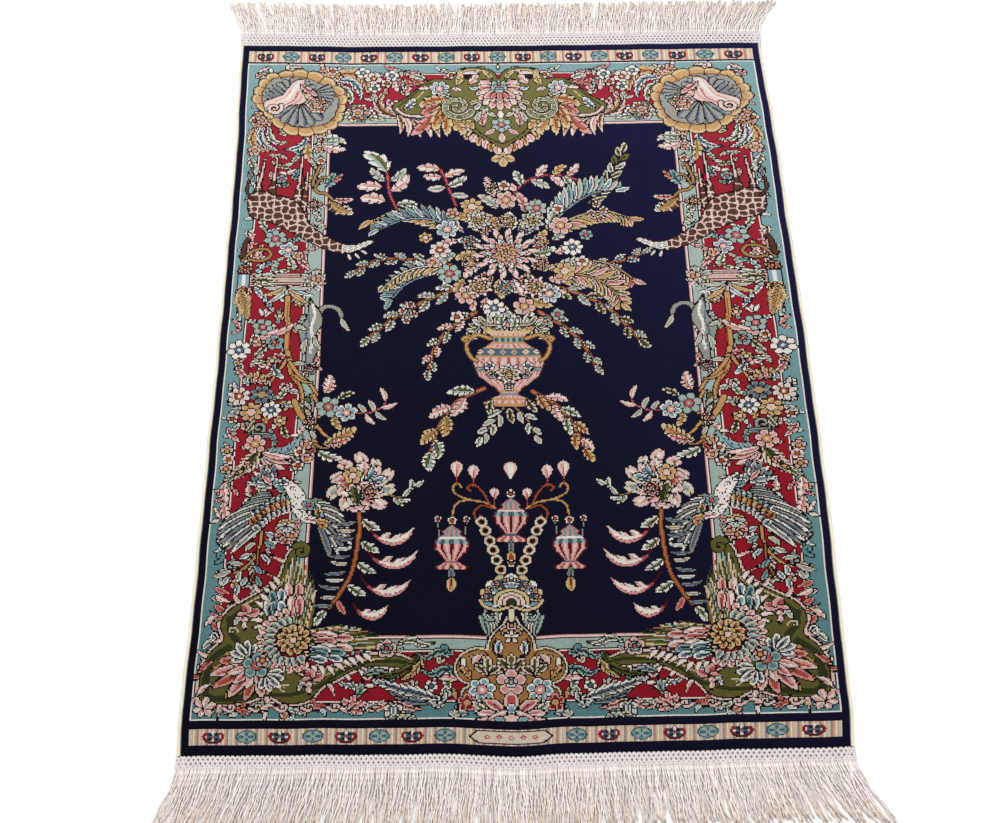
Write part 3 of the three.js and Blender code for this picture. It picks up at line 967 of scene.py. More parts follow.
def lower_left():
    """Curls, blossoms and big leaves between the tree and the bird."""
    scroll(-255, -93, 7, -1.2, 1.1, "grey", 1.8, "ink")
    leaf(-262, -104, 1.5, 18, 7, "dusk", 0.4)
    leaf(-262, -100, -0.4, 19, 7, "dusk", 0.4)
    leaf(-268, -98, 0.7, 16, 6, "olive", 0.4)
    leaf(-286, -92, -1.3, 20, 7, "rose", 0.4, 3)
    acanthus([(-253, -121), (-240, -125), (-224, -121), (-209, -101)], 22, "ice", 10, 0.7)
    acanthus([(-254, -119), (-260, -132), (-270, -144), (-283, -156)], 22, "olive", 8)
    flowers(((-263, -136, 4, "rose", 5), (-270, -146, 3.6, "rose", 5)))
    for n in range(4):
        leaf(-251, -121, -1.2 + 0.26 * n, 32, 7, ("rose", "shell")[n % 2], 0.25)
    flower(-257, -112, 11, "rose", 6)
    for n, y in enumerate((-120, -130, -141)):
        flower(-285 + 2 * (n % 2), y, 6, ("rose", "cream")[n % 2], 5)
    for n, (x, y) in enumerate(((-206, -112), (-212, -121), (-205, -129), (-213, -137))):
        flower(x, y, 6, ("rose", "cream")[n % 2], 5)
    leaf(-284, -156, -1.7, 24, 9, "shell", 0.3, 3)
    leaf(-284, -178, -1.4, 24, 9, "shell", 0.15, 4)
    leaf(-248, -168, 0.8, 10, 4, "sage")
    leaf(-262, -160, 0.3, 10, 4, "blue")


def spread_bird():
    """A bird with open wings that lies across the inner stripe."""
    for n in range(6):
        leaf(-236, -163, 1.55 + 0.25 * n, 27, 6.4, ("dusk", "ash")[n % 2], 0.12, 3)
    leaf(-238, -160, 2.2, 15, 5, "rose", 0.1)
    feathers([(-238, -168), (-230, -178)], [(-258, -174), (-276, -190)], 6.4, ["dusk", "mint"], 5, 0.08)
    feathers(
        [(-240, -178), (-238, -188), (-234, -196)],
        [(-284, -197), (-288, -206), (-288, -215), (-284, -226), (-274, -233)],
        6.0, ["ash", "dusk"], 9, 0.06,
    )
    scales([(-214, -166), (-228, -170), (-242, -178), (-256, -190)], ["mint", "blue"], 10, 8, 1.35)
    scales([(-214, -174), (-228, -177), (-243, -185), (-258, -200)], ["ember", "gold"], 9, 9, 1.35)
    scales([(-214, -181), (-228, -185), (-243, -194), (-254, -208)], ["ash"], 8.5, 9, 1.35)
    feathers(
        [(-204, -178), (-196, -188), (-192, -198)],
        [(-184, -177), (-171, -184), (-162, -196), (-156, -210), (-153, -223), (-164, -234), (-172, -240)],
        6.0, ["dusk", "ash"], 11, -0.08,
    )
    scales([(-200, -176), (-192, -184), (-188, -194), (-184, -204)], ["mint", "blue", "gold"], 9, 6, -0.2)
    for n in range(4):
        leaf(-230 + 3 * n, -160 - 2 * n, 2.2 + 0.2 * n, 11, 6.5, ("blue", "teal")[n % 2], 0.2)
    body = smooth([(-226, -155), (-218, -163), (-211, -174), (-209, -187), (-203, -196), (-193, -199)])
    share = np.linspace(0, 1, len(body))
    girth = 3.6 + 3.8 * np.exp(-((share - 0.42) / 0.3) ** 2)
    for tone, more in (("ink", LINE), ("white", 0.0)):
        for k in range(0, len(body), 2):
            stroke(body[k:k + 1], tone, girth[k] + more)
    rng = np.random.default_rng(11)
    for k in range(3, len(body) - 8, 2):
        x, y = body[k] + rng.uniform(-0.8, 0.8, 2) * girth[k]
        stroke(np.array([[x, y]]), "ink", 0.75)
    curve([(-200, -198), (-190, -200)], "rose", 1.2)
    flower(-200, -182, 6, "teal", 5)
    flower(-226, -156, 5, "daisy", 5)
    leaf(-193, -198, -0.4, 13, 6, "gold", 0.2)


def lower_side():
    """A leafy branch and a blossom on the red below the bird."""
    curve([(-245, -206), (-244, -222), (-248, -238), (-258, -252), (-268, -258)], "gold", 1.3, "ink", 0.3)
    curve([(-246, -232), (-246, -250), (-252, -268)], "tan", 0.9, "ink", 0.3)
    for n, (x, y, heading) in enumerate(
        (
            (-248, -212, -2.4), (-240, -212, -0.6), (-249, -224, -2.6), (-240, -222, -0.8),
            (-252, -236, -2.8), (-242, -236, -1.0), (-260, -248, 2.9), (-248, -248, -1.2),
            (-262, -256, -1.8), (-254, -262, -2.2), (-270, -256, 3.0), (-246, -262, -1.3),
            (-272, -262, -2.2), (-262, -272, -1.9),
        )
    ):
        leaf(x, y, heading, 12.5, 5.2, ("sage", "blue", "pale", "teal")[n % 4], 0.15)
    fan(-221, -206, -UP, 11, "sage", 5, 3.2, 5)
    for heading in (-2.7, -UP, -0.4):
        flower(-220 + 6.5 * np.cos(heading), -214 + 6.5 * np.sin(heading), 5.8, "rose", 5)
    bunch(-252, -188, 5, ["rose", "cream"], 4)
    tendril(-286, -246, 0.4, 24, "teal", 1.6, 1, 1.0)
    leaf(-288, -262, 0.1, 18, 6, "pale", 0.3)
    frill([(-284, -270), (-282, -292), (-284, -318)], ["flame", "shell"], 14, 6, 5, 1, 0.5)


def near_corner():
    """The olive corner: a collared gilt rosette between two hatched arms, and a flower with two wings."""
    olives = ["olive", "flax", "moss", "cream", "tan", "olive", "aqua", "moss"]
    shape = [
        (-206, -228), (-214, -233), (-219, -246), (-224, -264), (-236, -277), (-252, -288), (-268, -299),
        (-276, -314), (-272, -330), (-282, -342), (-289, -362), (-288, -394), (-266, -397), (-246, -395),
        (-226, -389), (-208, -397), (-188, -394), (-176, -380), (-162, -372), (-146, -362), (-126, -358),
        (-106, -360), (-90, -358), (-102, -349), (-120, -346), (-146, -349), (-170, -360), (-192, -370),
        (-214, -352), (-226, -332), (-224, -304), (-212, -278), (-210, -250),
    ]
    stroke(smooth(shape, closed=True), "blush", 2.6, "ink")
    frill(shape[1:19], ["shell", "flame", "shell"], 11, 5.2, 15, -1, 0.8, 0.9)
    frill(shape[18:22], ["shell"], 10, 4.8, 4, -1, 0.8, 0.9)
    region(shape, "olive")
    curve([(-214, -246), (-221, -270), (-246, -292), (-264, -306), (-266, -322)], "moss", 2.2)
    curve([(-100, -354), (-130, -353), (-156, -362), (-180, -380), (-206, -388), (-236, -388)], "moss", 2.0)
    curve([(-120, -350), (-146, -354), (-170, -366), (-190, -382)], "flax", 0.8)
    curve([(-216, -254), (-224, -274), (-242, -286), (-258, -296)], "flax", 0.8)
    curve([(-266, -338), (-280, -350), (-284, -368), (-282, -389), (-262, -392), (-240, -389)], "moss", 3.4)
    curve([(-268, -308), (-266, -322), (-258, -332)], "moss", 3.0)
    scroll(-204, -233, 8, 2.4, 1.2, "olive", 3.0, "ink", -1)
    stroke(smooth([(-208, -254), (-208, -290), (-210, -312)]), "olive", 5.0)
    stroke(smooth([(-190, -330), (-160, -331), (-128, -336)]), "olive", 5.0)
    hatching(
        [(-222, -312), (-206, -311), (-191, -318)], [(-217, -246), (-207, -240), (-195, -256), (-187, -284)],
        olives, 30,
    )
    hatching(
        [(-195, -322), (-188, -329), (-186, -342)], [(-162, -316), (-142, -320), (-124, -327), (-114, -340)],
        olives, 27,
    )
    frill([(-232, -322), (-237, -306), (-232, -286), (-222, -268)], ["shell"], 11, 5, 8, 1, 0.6)
    frill([(-190, -357), (-172, -358), (-156, -350), (-136, -344)], ["shell"], 11, 5, 8, -1, 0.6)
    for roots, tips, tones, count in (
        ([(-213, -290), (-204, -289)], [(-214, -269), (-202, -270)], ["shell", "rose"], 2),
        ([(-215, -308), (-202, -308)], [(-217, -284), (-200, -284)], ["rose", "shell"], 3),
        ([(-225, -296), (-219, -295)], [(-229, -278), (-219, -276)], ["teal", "blue"], 2),
        ([(-229, -311), (-217, -311)], [(-233, -290), (-218, -289)], ["blue", "teal"], 3),
    ):
        feathers(roots, tips, 8.2, tones, count, 0.1, 0.6)
    for roots, tips, tones, count in (
        ([(-172, -329), (-170, -338)], [(-149, -327), (-149, -338)], ["rose", "shell"], 2),
        ([(-190, -325), (-188, -338)], [(-165, -324), (-164, -337)], ["shell", "rose"], 3),
        ([(-175, -342), (-175, -348)], [(-155, -343), (-158, -351)], ["teal", "blue"], 2),
        ([(-192, -339), (-191, -350)], [(-170, -340), (-172, -351)], ["blue", "teal"], 3),
    ):
        feathers(roots, tips, 8.2, tones, count, -0.1, 0.6)
    for reach, size, count, tones in ((26.5, 8.5, 15, "shell"), (17.5, 10.5, 13, "pale")):
        for n in range(count):
            heading = 1.85 + 3.35 * n / (count - 1)
            x, y = -207 + reach * np.cos(heading), -331 + reach * np.sin(heading)
            leaf(x, y, heading, size, 7.6, tones, 0.0, 0, 0.35, 0.6)
    part, dx, dy = window(-206, -330, 20)
    dye(part, np.hypot(dx, dy) < 16.5, "ink")
    for n in range(11):
        heading = 2 * np.pi * n / 11
        x, y = -206 + 3 * np.cos(heading), -330 + 3 * np.sin(heading)
        leaf(x, y, heading, 13, 7.6, "gold", 0.0, 0, 1.3, 0.45)
    flower(-206, -330, 8, "gold", 6)
    feathers(
        [(-241, -355), (-235, -363)], [(-268, -342), (-280, -362), (-276, -384), (-256, -392), (-226, -388)],
        11, ["ember"], 6, 0.05, 0.6,
    )
    feathers(
        [(-242, -354), (-234, -364)], [(-274, -350), (-282, -372), (-262, -390), (-238, -393), (-218, -382)],
        9.5, ["flame", "rose"], 7, 0.05, 0.55,
    )
    feathers(
        [(-241, -356), (-236, -362)], [(-263, -352), (-264, -368), (-250, -380), (-234, -380)],
        7.5, ["rose", "shell"], 5, 0.05, 0.5,
    )
    fan(-246, -350, 2.25, 21, "ash", 5, 1.7, 7.5)
    fan(-230, -366, -0.75, 21, "ash", 5, 1.7, 7.5)
    flower(-238, -357, 13.5, "teal", 5)
    flower(-233, -352, 6, "rose", 5)
    for x, y in ((-251, -304), (-186, -372)):
        for heading in (0.3, 1.9, 3.5):
            leaf(x, y, heading, 12, 9.5, "rose", 0.0, 0, 0.6, 0.8)
        leaf(x - 1, y - 2, -2.0, 13, 6, "shell", 0.4, 2)
        leaf(x - 6, y - 3, -2.6, 10, 5, "ash", 0.4, 2)
    for x, y, heading in ((-236, -298, 0.5), (-258, -322, 2.2), (-206, -378, 3.0), (-224, -372, -2.0)):
        tendril(x, y, heading, 20, "cream", 0.7, 1, 1.0, None)
    fan(-284, -401, 0.8, 12, "shell", 6, 5.0, 6)
    for n in range(6):
        x = -266 + 24 * n
        tendril(x, -401, -0.7, 22, "blush", 1.3, 1, 0.95)
        leaf(x + 11, -403, 0.7 if n % 2 else 0.1, 13, 5.6, ("flame", "shell", "sage")[n % 3], -0.5, 2)
    for n in range(4):
        leaf(-290, -388 + 24 * n, 1.3, 14, 6, ("shell", "flame", "sage")[n % 3], -0.5, 2)


def near_border():
    """Curled leaves and blossoms between the near corner and the near cartouche."""
    acanthus([(-88, -346), (-96, -360), (-112, -368), (-128, -370)], 11, "moss", 5)
    acanthus([(-84, -352), (-92, -366), (-104, -374)], 9, "straw", 4)
    acanthus([(-68, -394), (-88, -388), (-108, -382), (-132, -372)], 17, "ash", 8)
    acanthus([(-78, -398), (-98, -394), (-116, -384)], 9, "dusk", 5)
    acanthus([(-56, -346), (-68, -344), (-80, -350), (-88, -346)], 11, "mint", 5)
    acanthus([(-48, -364), (-62, -362), (-74, -368), (-86, -362)], 10, "teal", 5)
    acanthus([(-106, -334), (-94, -331), (-84, -336), (-72, -334)], 9, "sage", 4)
    flower(-118, -340, 9.5, "rose", 5)
    flower(-118, -340, 5, "teal", 5)
    tendril(-62, -344, 1.2, 14, "teal", 1.3, 1, 1.0)
    tendril(-140, -360, -0.3, 30, "blush", 1.2, -1, 1.05)
    leaf(-138, -368, 0.6, 20, 7.5, "mint", -0.5, 3)
    leaf(-150, -374, -1.0, 18, 7, "sage", 0.4, 3)
    leaf(-146, -392, 0.8, 17, 7, "mint", 0.4, 3)
    leaf(-60, -394, 1.3, 16, 6.5, "pale", 0.3, 2)
    leaf(-60, -380, -2.0, 15, 6, "sage", 0.4, 2)
    fan(-150, -404, 0.9, 17, "rose", 4, 2.0, 6.5, 2)
    acanthus([(-112, -396), (-122, -402), (-136, -405)], 8, "rose", 3)
    acanthus([(-106, -396), (-96, -402), (-82, -404)], 8, "rose", 3)
    fan(-109, -398, -UP, 12, "ash", 3, 1.4, 6)


def near_cartouche():
    """A tan lobed panel of arabesques over a bank of flowers, with a crown reaching into the field."""
    feathers([(-14, -332), (-22, -328)], [(-15, -303), (-26, -305)], 7, ["mint", "sage", "pale"], 4, 0.2)
    shape = mirrored(
        [
            (0, -304), (-6, -314), (-15, -323), (-20, -333), (-22, -341), (-34, -341), (-46, -348),
            (-51, -360), (-47, -372), (-36, -378), (-44, -386), (-42, -398), (-24, -406), (-10, -408),
            (0, -412),
        ]
    )
    stroke(smooth(shape, closed=True), "cream", 2.4, "ink")
    region(shape, "tan")
    curve([(-13, -327), (-18, -338), (-28, -344), (-40, -350), (-45, -362), (-40, -372)], "gold", 0.8)
    curve([(-7, -322), (-4, -328), (0, -324)], "wine", 0.8)
    for x, y in ((-6, -320), (6, -320), (0, -315)):
        flower(x, y, 4.6, "rose", 5)
    for heading in (0.4, UP, 2.74, 3.9, 5.5):
        leaf(0, -327, heading, 7.5, 3.6, "shell", 0.0, 0)
    leaf(-12, -344, UP, 14, 7.5, "blue", 0.0, 0, 0.6)
    curve([(-14, -328), (-18, -336), (-15, -345), (-8, -346)], "ink", 0.8)
    scroll(-27, -349, 6.5, 1.2, 1.1, "brown", 0.9, None, -1)
    leaf(-22, -354, 2.5, 17, 7, "rose", 0.35, 2)
    leaf(-36, -356, 1.2, 13, 6, "shell", -0.3)
    curve([(-45, -352), (-45, -365)], "white", 1.6, "ink")
    leaf(-38, -372, 1.9, 16, 6, "gold", 0.3, 2)
    fan(0, -364, UP, 21, "olive", 5, 2.4, 8.5, 2)
    fan(-22, -368, UP, 21, "olive", 3, 1.3, 8, 2)
    leaf(-56, -384, 2.2, 18, 8, "sage", -0.4, 2)
    leaf(-50, -374, 2.7, 16, 7, "shell", 0.4, 2)
    flower(0, -374, 14, "rose", 5, UP)
    flower(0, -374, 5, "blue", 5)
    flower(-27, -383, 13, "blue", 6)
    flower(-41, -397, 9, "red", 5)
    leaf(-12, -396, 2.7, 15, 7, "gold", 0.3, 2)
    leaf(-18, -406, 2.9, 20, 8, "sage", -0.3, 3)
    leaf(-40, -408, 3.0, 16, 7, "pale", 0.3, 2)
    leaf(-8, -404, 2.35, 19, 10, "rose", 0.2, 0, 0.8, 0.6)
    leaf(-14, -408, 2.9, 17, 8, "shell", 0.2, 0, 0.8, 0.6)
    leaf(0, -406, UP, 22, 13, "rose", 0.0, 0, 0.8, 0.65)
    leaf(0, -408, UP, 12, 8, "blue", 0.0, 0, 0.8, 0.6)
    region([(-30, -414), (-20, -409), (0, -407), (20, -409), (30, -414)], "blush")
    leaf(-22, -413, 0.3, 20, 7, "shell", 0.2)
    leaf(-6, -412, 3.1, 9, 5, "mint")
    near_crown()


def near_crown():
    """The fan-shaped crown on a narrow neck above the near cartouche."""
    for side in (-1, 1):
        scroll(side * 19, -305, 8, UP, 1.1, "aqua", 1.4, "ink", -side)
        leaf(side * 12, -312, UP - side * 0.2, 18, 6, "sage", side * 0.3, 2)
    curve([(0, -308), (0, -300), (0, -292)], "cream", 2.6, "ink")
    for n in outside_in(9):
        heading = UP + 0.42 * (n - 4)
        leaf(0, -289, heading, 31, 15, ("blue", "flare")[n % 2], 0.0, 0, 1.9, 0.62)
    for n in range(8):
        heading = UP + 0.42 * (n - 3.5)
        flower(25 * np.cos(heading), -289 + 22 * np.sin(heading), 3.4, "rose", 5)
    part, dx, dy = window(0, -291, 30)
    far = np.hypot(dx / 1.15, dy)
    rings = (
        (16.5, "ink"), (15.2, "flax"), (12.2, "ink"), (11.0, "cream"), (8.4, "brown"), (7.2, "blush"),
        (4.8, "ink"), (3.6, "moss"),
    )
    for reach, tone in rings:
        dye(part, (dy > -3) & (far < reach), tone)
    for side in (-1, 1):
        curve([(side * 3, -296), (side * 14, -299), (side * 25, -296), (side * 30, -290)], "flax", 1.4, "ink")


# The field

def crescent(x, y, size):
    """A curled rose petal on a dark red thread, hooked up at its tip, with three ragged barbs."""
    points = [(0.0, 0.0), (0.09, -0.17), (0.26, -0.35), (0.54, -0.44), (0.8, -0.36), (1.02, -0.1)]
    path = smooth([(x + a * size, y + b * size) for a, b in points])
    share = np.linspace(0, 1, len(path))
    for heading, at, reach in ((1.0, 0.4, 0.24), (0.85, 0.55, 0.28), (0.8, 0.7, 0.28)):
        leaf(*path[int(at * len(path))], heading, reach * size, 6.5, "shell", -0.2, 0, 0.5, 0.7)
    thick = 0.5 + 3.5 * np.sin(np.pi * share ** 1.5) ** 1.4
    for k in range(len(path)):
        tone = "wine" if share[k] < 0.24 else "rose" if share[k] < 0.42 else "pink"
        stroke(path[k:k + 1], tone, thick[k])
    for k in range(int(0.36 * len(path)), len(path), 2):
        stroke(path[k:k + 1] + [0.0, 0.9], "white", 0.72 * thick[k] - 0.3)
    for k in range(int(0.3 * len(path)), int(0.8 * len(path)), 9):
        stroke(path[k:k + 5] - [0.0, 0.3 * thick[k]], "rose", 0.6)


def carnations():
    """A big side blossom on a long bent stem, with curled petals below it."""
    stem = [(-150, -184), (-149, -210), (-151, -236), (-156, -262), (-166, -284), (-176, -300)]
    curve(stem, "tan", 0.9, "rust", 0.3)
    for n in range(11):
        y = -200 - 9.4 * n
        x = -150 - 0.0016 * (y + 184) ** 2
        length = 23 - 0.5 * n - 4 * (n % 2)
        leaf(x - 2, y, -2.65 - 0.12 * (n % 3), length, 4.6, ("dusk", "pale", "dusk", "sage")[n % 4], -0.4)
    for x, y in ((-147, -198), (-147, -222), (-150, -246), (-158, -272)):
        leaf(x, y, -0.75, 22, 9, "sage", 0.15, 3)
    for x, y, size in ((-142, -203, 46), (-142, -228, 50), (-146, -261, 48), (-152, -292, 33)):
        crescent(x, y, size)
    leaf(-176, -300, -2.4, 20, 8, "sage", 0.2, 2)
    leaf(-166, -290, -1.3, 16, 6, "flame", 0.2)
    petal_ring(-149, -158, 10, 0.15, (34, 31, 36), 15, ("shell", "pale", "shell", "rose"), 0.25, 3, 2.2, 0.45)
    petal_ring(-149, -158, 9, 0.0, (26,), 12, ("pale", "rose", "shell"), 0.15, 2, 2.0, 0.45)
    petal_ring(-149, -159, 9, 0.3, (20,), 9, ("rose", "flame", "sage"), 0.1, 2, 1.6, 0.5)
    for heading, length in ((0.9, 22), (0.2, 24), (-0.7, 20)):
        leaf(-147, -158, heading, length, 7.5, "blue", 0.1, 2, 1.3, 0.7)
    fan(-153, -160, -1.2, 16, "shell", 5, 2.6, 6)
    leaf(-151, -184, 1.75, 27, 10, "olive", 0.15, 4, 0.8, 0.8)
    flower(-158, -149, 9.5, "gold", 5)
    bunch(-141, -166, 7, ["rose", "cream"], 5)
    leaf(-146, -184, -2.6, 15, 6, "shell", -0.4, 2)
    curve([(-122, -170), (-112, -174), (-104, -170), (-98, -162)], "tan", 0.8)
    for x, y, heading in (
        (-116, -174, -1.1), (-108, -173, 0.6), (-100, -166, 1.2), (-98, -162, 0.2), (-112, -176, -0.4),
    ):
        leaf(x, y, heading, 12, 5.2, ("sage", "pale")[int(x) % 2], 0.35)


def turned_body(x, y, heights, widths, edge, gores):
    """A pink body as if turned on a lathe, and how far each of its knots lies off its gore's middle."""
    part, dx, dy = window(x, y, 1.25 * max(-heights[0], heights[-1], widths.max()))
    half = np.interp(dy, heights, widths)
    off = np.abs(dx)
    tall = (dy > heights[0]) & (dy < heights[-1])
    inside = tall & (off < half - 0.2)
    dye(part, tall & (off < half + LINE), edge)
    dye(part, inside, "pink")
    gore = np.abs(np.arcsin(np.clip(dx / np.maximum(half, 1), -1, 1)) / np.pi * gores % 1 - 0.5)
    return part, dx, dy, inside, gore


def lamp(x, y, knobs):
    """A hanging lamp of pink gores with a flared foot, a crown above and a gilt drop below."""
    scale = 0.95
    heights = np.array([-24, -21, -18, -14, -8, 0, 8, 14, 17, 20, 24, 28]) * scale
    widths = np.array([14.5, 16.0, 10.5, 5.5, 10.0, 16.5, 17.5, 13.0, 7.5, 10.0, 5.0, 0]) * scale
    part, _, dy, inside, gore = turned_body(x, y, heights, widths, "wine", 5)
    body = (dy > -13 * scale) & (dy < 6 * scale)
    dye(part, inside & body & (gore > 0.34), "wine")
    dye(part, inside & body & (gore < 0.14), "blush")
    belt = (dy > 6 * scale) & (dy < 12 * scale)
    dye(part, inside & belt, "slate")
    dye(part, inside & belt & (gore < 0.25), "aqua")
    dye(part, inside & (np.abs(dy - 13 * scale) < 1), "white")
    dye(part, inside & (dy > 14.5 * scale) & (gore > 0.25), "teal")
    dye(part, inside & (dy < -17 * scale) & (gore > 0.3), "rose")
    dye(part, inside & (dy < -17 * scale) & (gore < 0.14), "cream")
    dye(part, inside & (np.abs(dy + 15 * scale) < 1), "slate")
    for side in (-1, 1) if knobs else ():
        curve([(x + side * 13 * scale, y + 14 * scale), (x + side * 15 * scale, y + 32 * scale)], "grey", 0.5)
        flower(x + side * 15 * scale, y + 35 * scale, 3.6, "cream", 5)
    flower(x, y + 33 * scale, 4.6, "cream", 5)
    leaf(x, y - 22 * scale, -UP, 16 * scale, 6.0, "dusk", 0.0)
    leaf(x, y - 34 * scale, -UP, 18 * scale, 9, "gold", 0.0, 0, 0.7)


def beads(points, count, size):
    """A chain of dark beads with pale rims."""
    path = smooth(points)
    for n in range(count):
        x, y = path[int(n / (count - 1) * (len(path) - 1))]
        part, dx, dy = window(x, y, size + 2)
        far = np.hypot(dx, dy)
        dye(part, far < size, "cream")
        dye(part, far < size - 1.9, "tan")
        dye(part, far < size - 2.8, "ink")


def lamp_group():
    """Three lamps on gilt brackets, with pink drops above and bead chains below."""
    curve([(-15, -185), (-27, -179), (-46, -178), (-55, -183), (-58, -196)], "gold", 0.9)
    curve([(-20, -183), (-27, -169), (-36, -160), (-43, -163), (-40, -168)], "rust", 0.9)
    curve([(-30, -179), (-47, -175), (-56, -169), (-57, -162), (-52, -159), (-49, -164)], "gold", 0.9)
    curve([(-18, -185), (-29, -183), (-36, -190), (-34, -199), (-28, -198), (-31, -193)], "rust", 0.9)
    curve([(0, -158), (0, -172)], "tan", 0.6)
    drops = ((-54, -153, 22, 12), (-37, -155, 20, 10.5), (-16, -175, 14, 9), (0, -153, 23, 13))
    for x, y, length, width in drops:
        curve([(x, y), (x, y - 8)], "rust", 0.6)
        leaf(x, y - 2, UP, length, width, "shell", 0.0, 0, 1.8, 0.5)
    lamp(0, -200, knobs=False)
    lamp(-58, -232, knobs=True)
    beads([(-29, -201), (-21, -222), (-10, -254)], 6, 5.6)
    flower(0, -246, 4, "cream", 5)
    flower(0, -266, 4.4, "daisy", 5)


def vase():
    """A rose-coloured footed vase, which holds the bouquet."""
    heights = np.array([-66, -62, -56, -51, -44, -28, -10, 6, 14, 20, 27, 32])
    widths = np.array([25, 26, 17, 8, 13, 31, 37, 31, 20, 15, 19, 25])
    part, dx, dy, inside, gore = turned_body(0, 0, heights, widths, "brown", 11)
    dye(part, inside & (gore < 0.22), "blush")
    dye(part, inside & (gore > 0.42), "rose")
    for low, high, tone in (
        (-66, -63, "gold"), (-58, -56, "gold"), (-52, -49, "teal"), (-48, -46, "gold"), (-2, 0, "gold"),
        (0, 9, "slate"), (9, 11, "gold"), (16, 18, "gold"), (18, 24, "deep"), (24, 26, "gold"),
        (29, 32, "flax"),
    ):
        dye(part, inside & (dy > low) & (dy < high), tone)
    dye(part, inside & (dy > 1) & (dy < 8) & (np.abs(dx % 12 - 6) + np.abs(dy - 4.5) < 3.6), "cream")
    dye(part, inside & (dy > 1) & (dy < 8) & (np.abs(dx % 12 - 6) + np.abs(dy - 4.5) < 1.6), "rust")
    dye(part, inside & (dy > 18) & (dy < 24) & (np.abs(dx % 6 - 3) < 1.2), "aqua")
    for side in (-1, 1):
        handle = [(side * 18, 22), (side * 34, 26), (side * 44, 14), (side * 40, -2), (side * 33, -8)]
        curve(handle, "gold", 1.7, "brown")
        tendril(side * 38, 20, UP - side * 0.8, 22, "gold", 1.2, -side, 1.1, "brown")
        curve([(side * 8, -34), (side * 16, -24), (side * 26, -18)], "moss", 0.8)
        for n in range(4):
            heading = UP - side * (0.2 + n % 2)
            leaf(side * (9 + 5 * n), -33 + 4 * n, heading, 9, 4, ("olive", "teal")[n % 2])
    blossom(0, -24, 14, ("shell", "blue", "gold"), 9, 0.2)
    flower(-20, -14, 5.5, "daisy", 5)
    flower(20, -14, 5.5, "daisy", 5)
    flower(0, -42, 4.5, "blue", 5)


def sprig(stem, rows):
    """A thin rose stem with the leaves of (x, y, heading, length, width, tones, bend) rows."""
    curve(stem, "rose", 0.9, "wine")
    for x, y, heading, length, width, tones, bend in rows:
        leaf(x, y, heading, length, width, tones, bend, 3 if length > 20 else 0)


def far_sprigs():
    """The big-leaved sprigs between the bouquet and the far border."""
    sprig(
        [(-118, 196), (-128, 222), (-131, 244), (-132, 262)],
        (
            (-132, 254, 1.95, 38, 20, "sage", 0.35), (-134, 241, 2.5, 25, 10, "pale", -0.2),
            (-128, 241, 0.55, 25, 10, "pale", 0.25), (-137, 232, 2.95, 28, 13, "shell", 0.15),
            (-127, 227, 0.5, 29, 14, "shell", 0.35), (-133, 213, 2.75, 28, 15, "shell", 0.25),
            (-121, 208, 0.2, 24, 10, "sage", -0.2),
        ),
    )
    sprig(
        [(-54, 206), (-62, 230), (-66, 244), (-72, 258)],
        (
            (-72, 257, 2.85, 26, 12, "shell", 0.2), (-67, 246, 0.6, 25, 10, "shell", -0.2),
            (-70, 247, -2.95, 21, 10, "shell", -0.2), (-63, 233, 0.35, 25, 10, "sage", 0.2),
            (-66, 232, -2.8, 20, 9, "pale", -0.2), (-60, 220, 0.1, 20, 8, "pale", -0.2),
        ),
    )
    sprig(
        [(8, 212), (16, 230), (32, 243), (52, 248), (72, 245), (92, 236)],
        (
            (20, 234, 1.75, 22, 11, "sage", 0.2), (38, 245, 1.2, 21, 10, "shell", -0.2),
            (56, 248, 0.9, 21, 9, "straw", -0.2), (72, 246, 0.7, 23, 9, "shell", 0.2),
            (30, 241, -0.35, 25, 10, "pale", -0.1), (52, 247, -0.6, 24, 9, "shell", -0.2),
            (68, 246, -0.9, 23, 9, "sage", -0.2), (90, 238, -0.8, 29, 10, "shell", 0.2),
            (14, 226, 2.2, 19, 9, "shell", 0.3),
        ),
    )
    spray(
        [(96, 208), (114, 230), (126, 252), (138, 280)],
        ["olive", "sage", "moss"], 17, 7, 6, "olive", None, 0.9,
    )


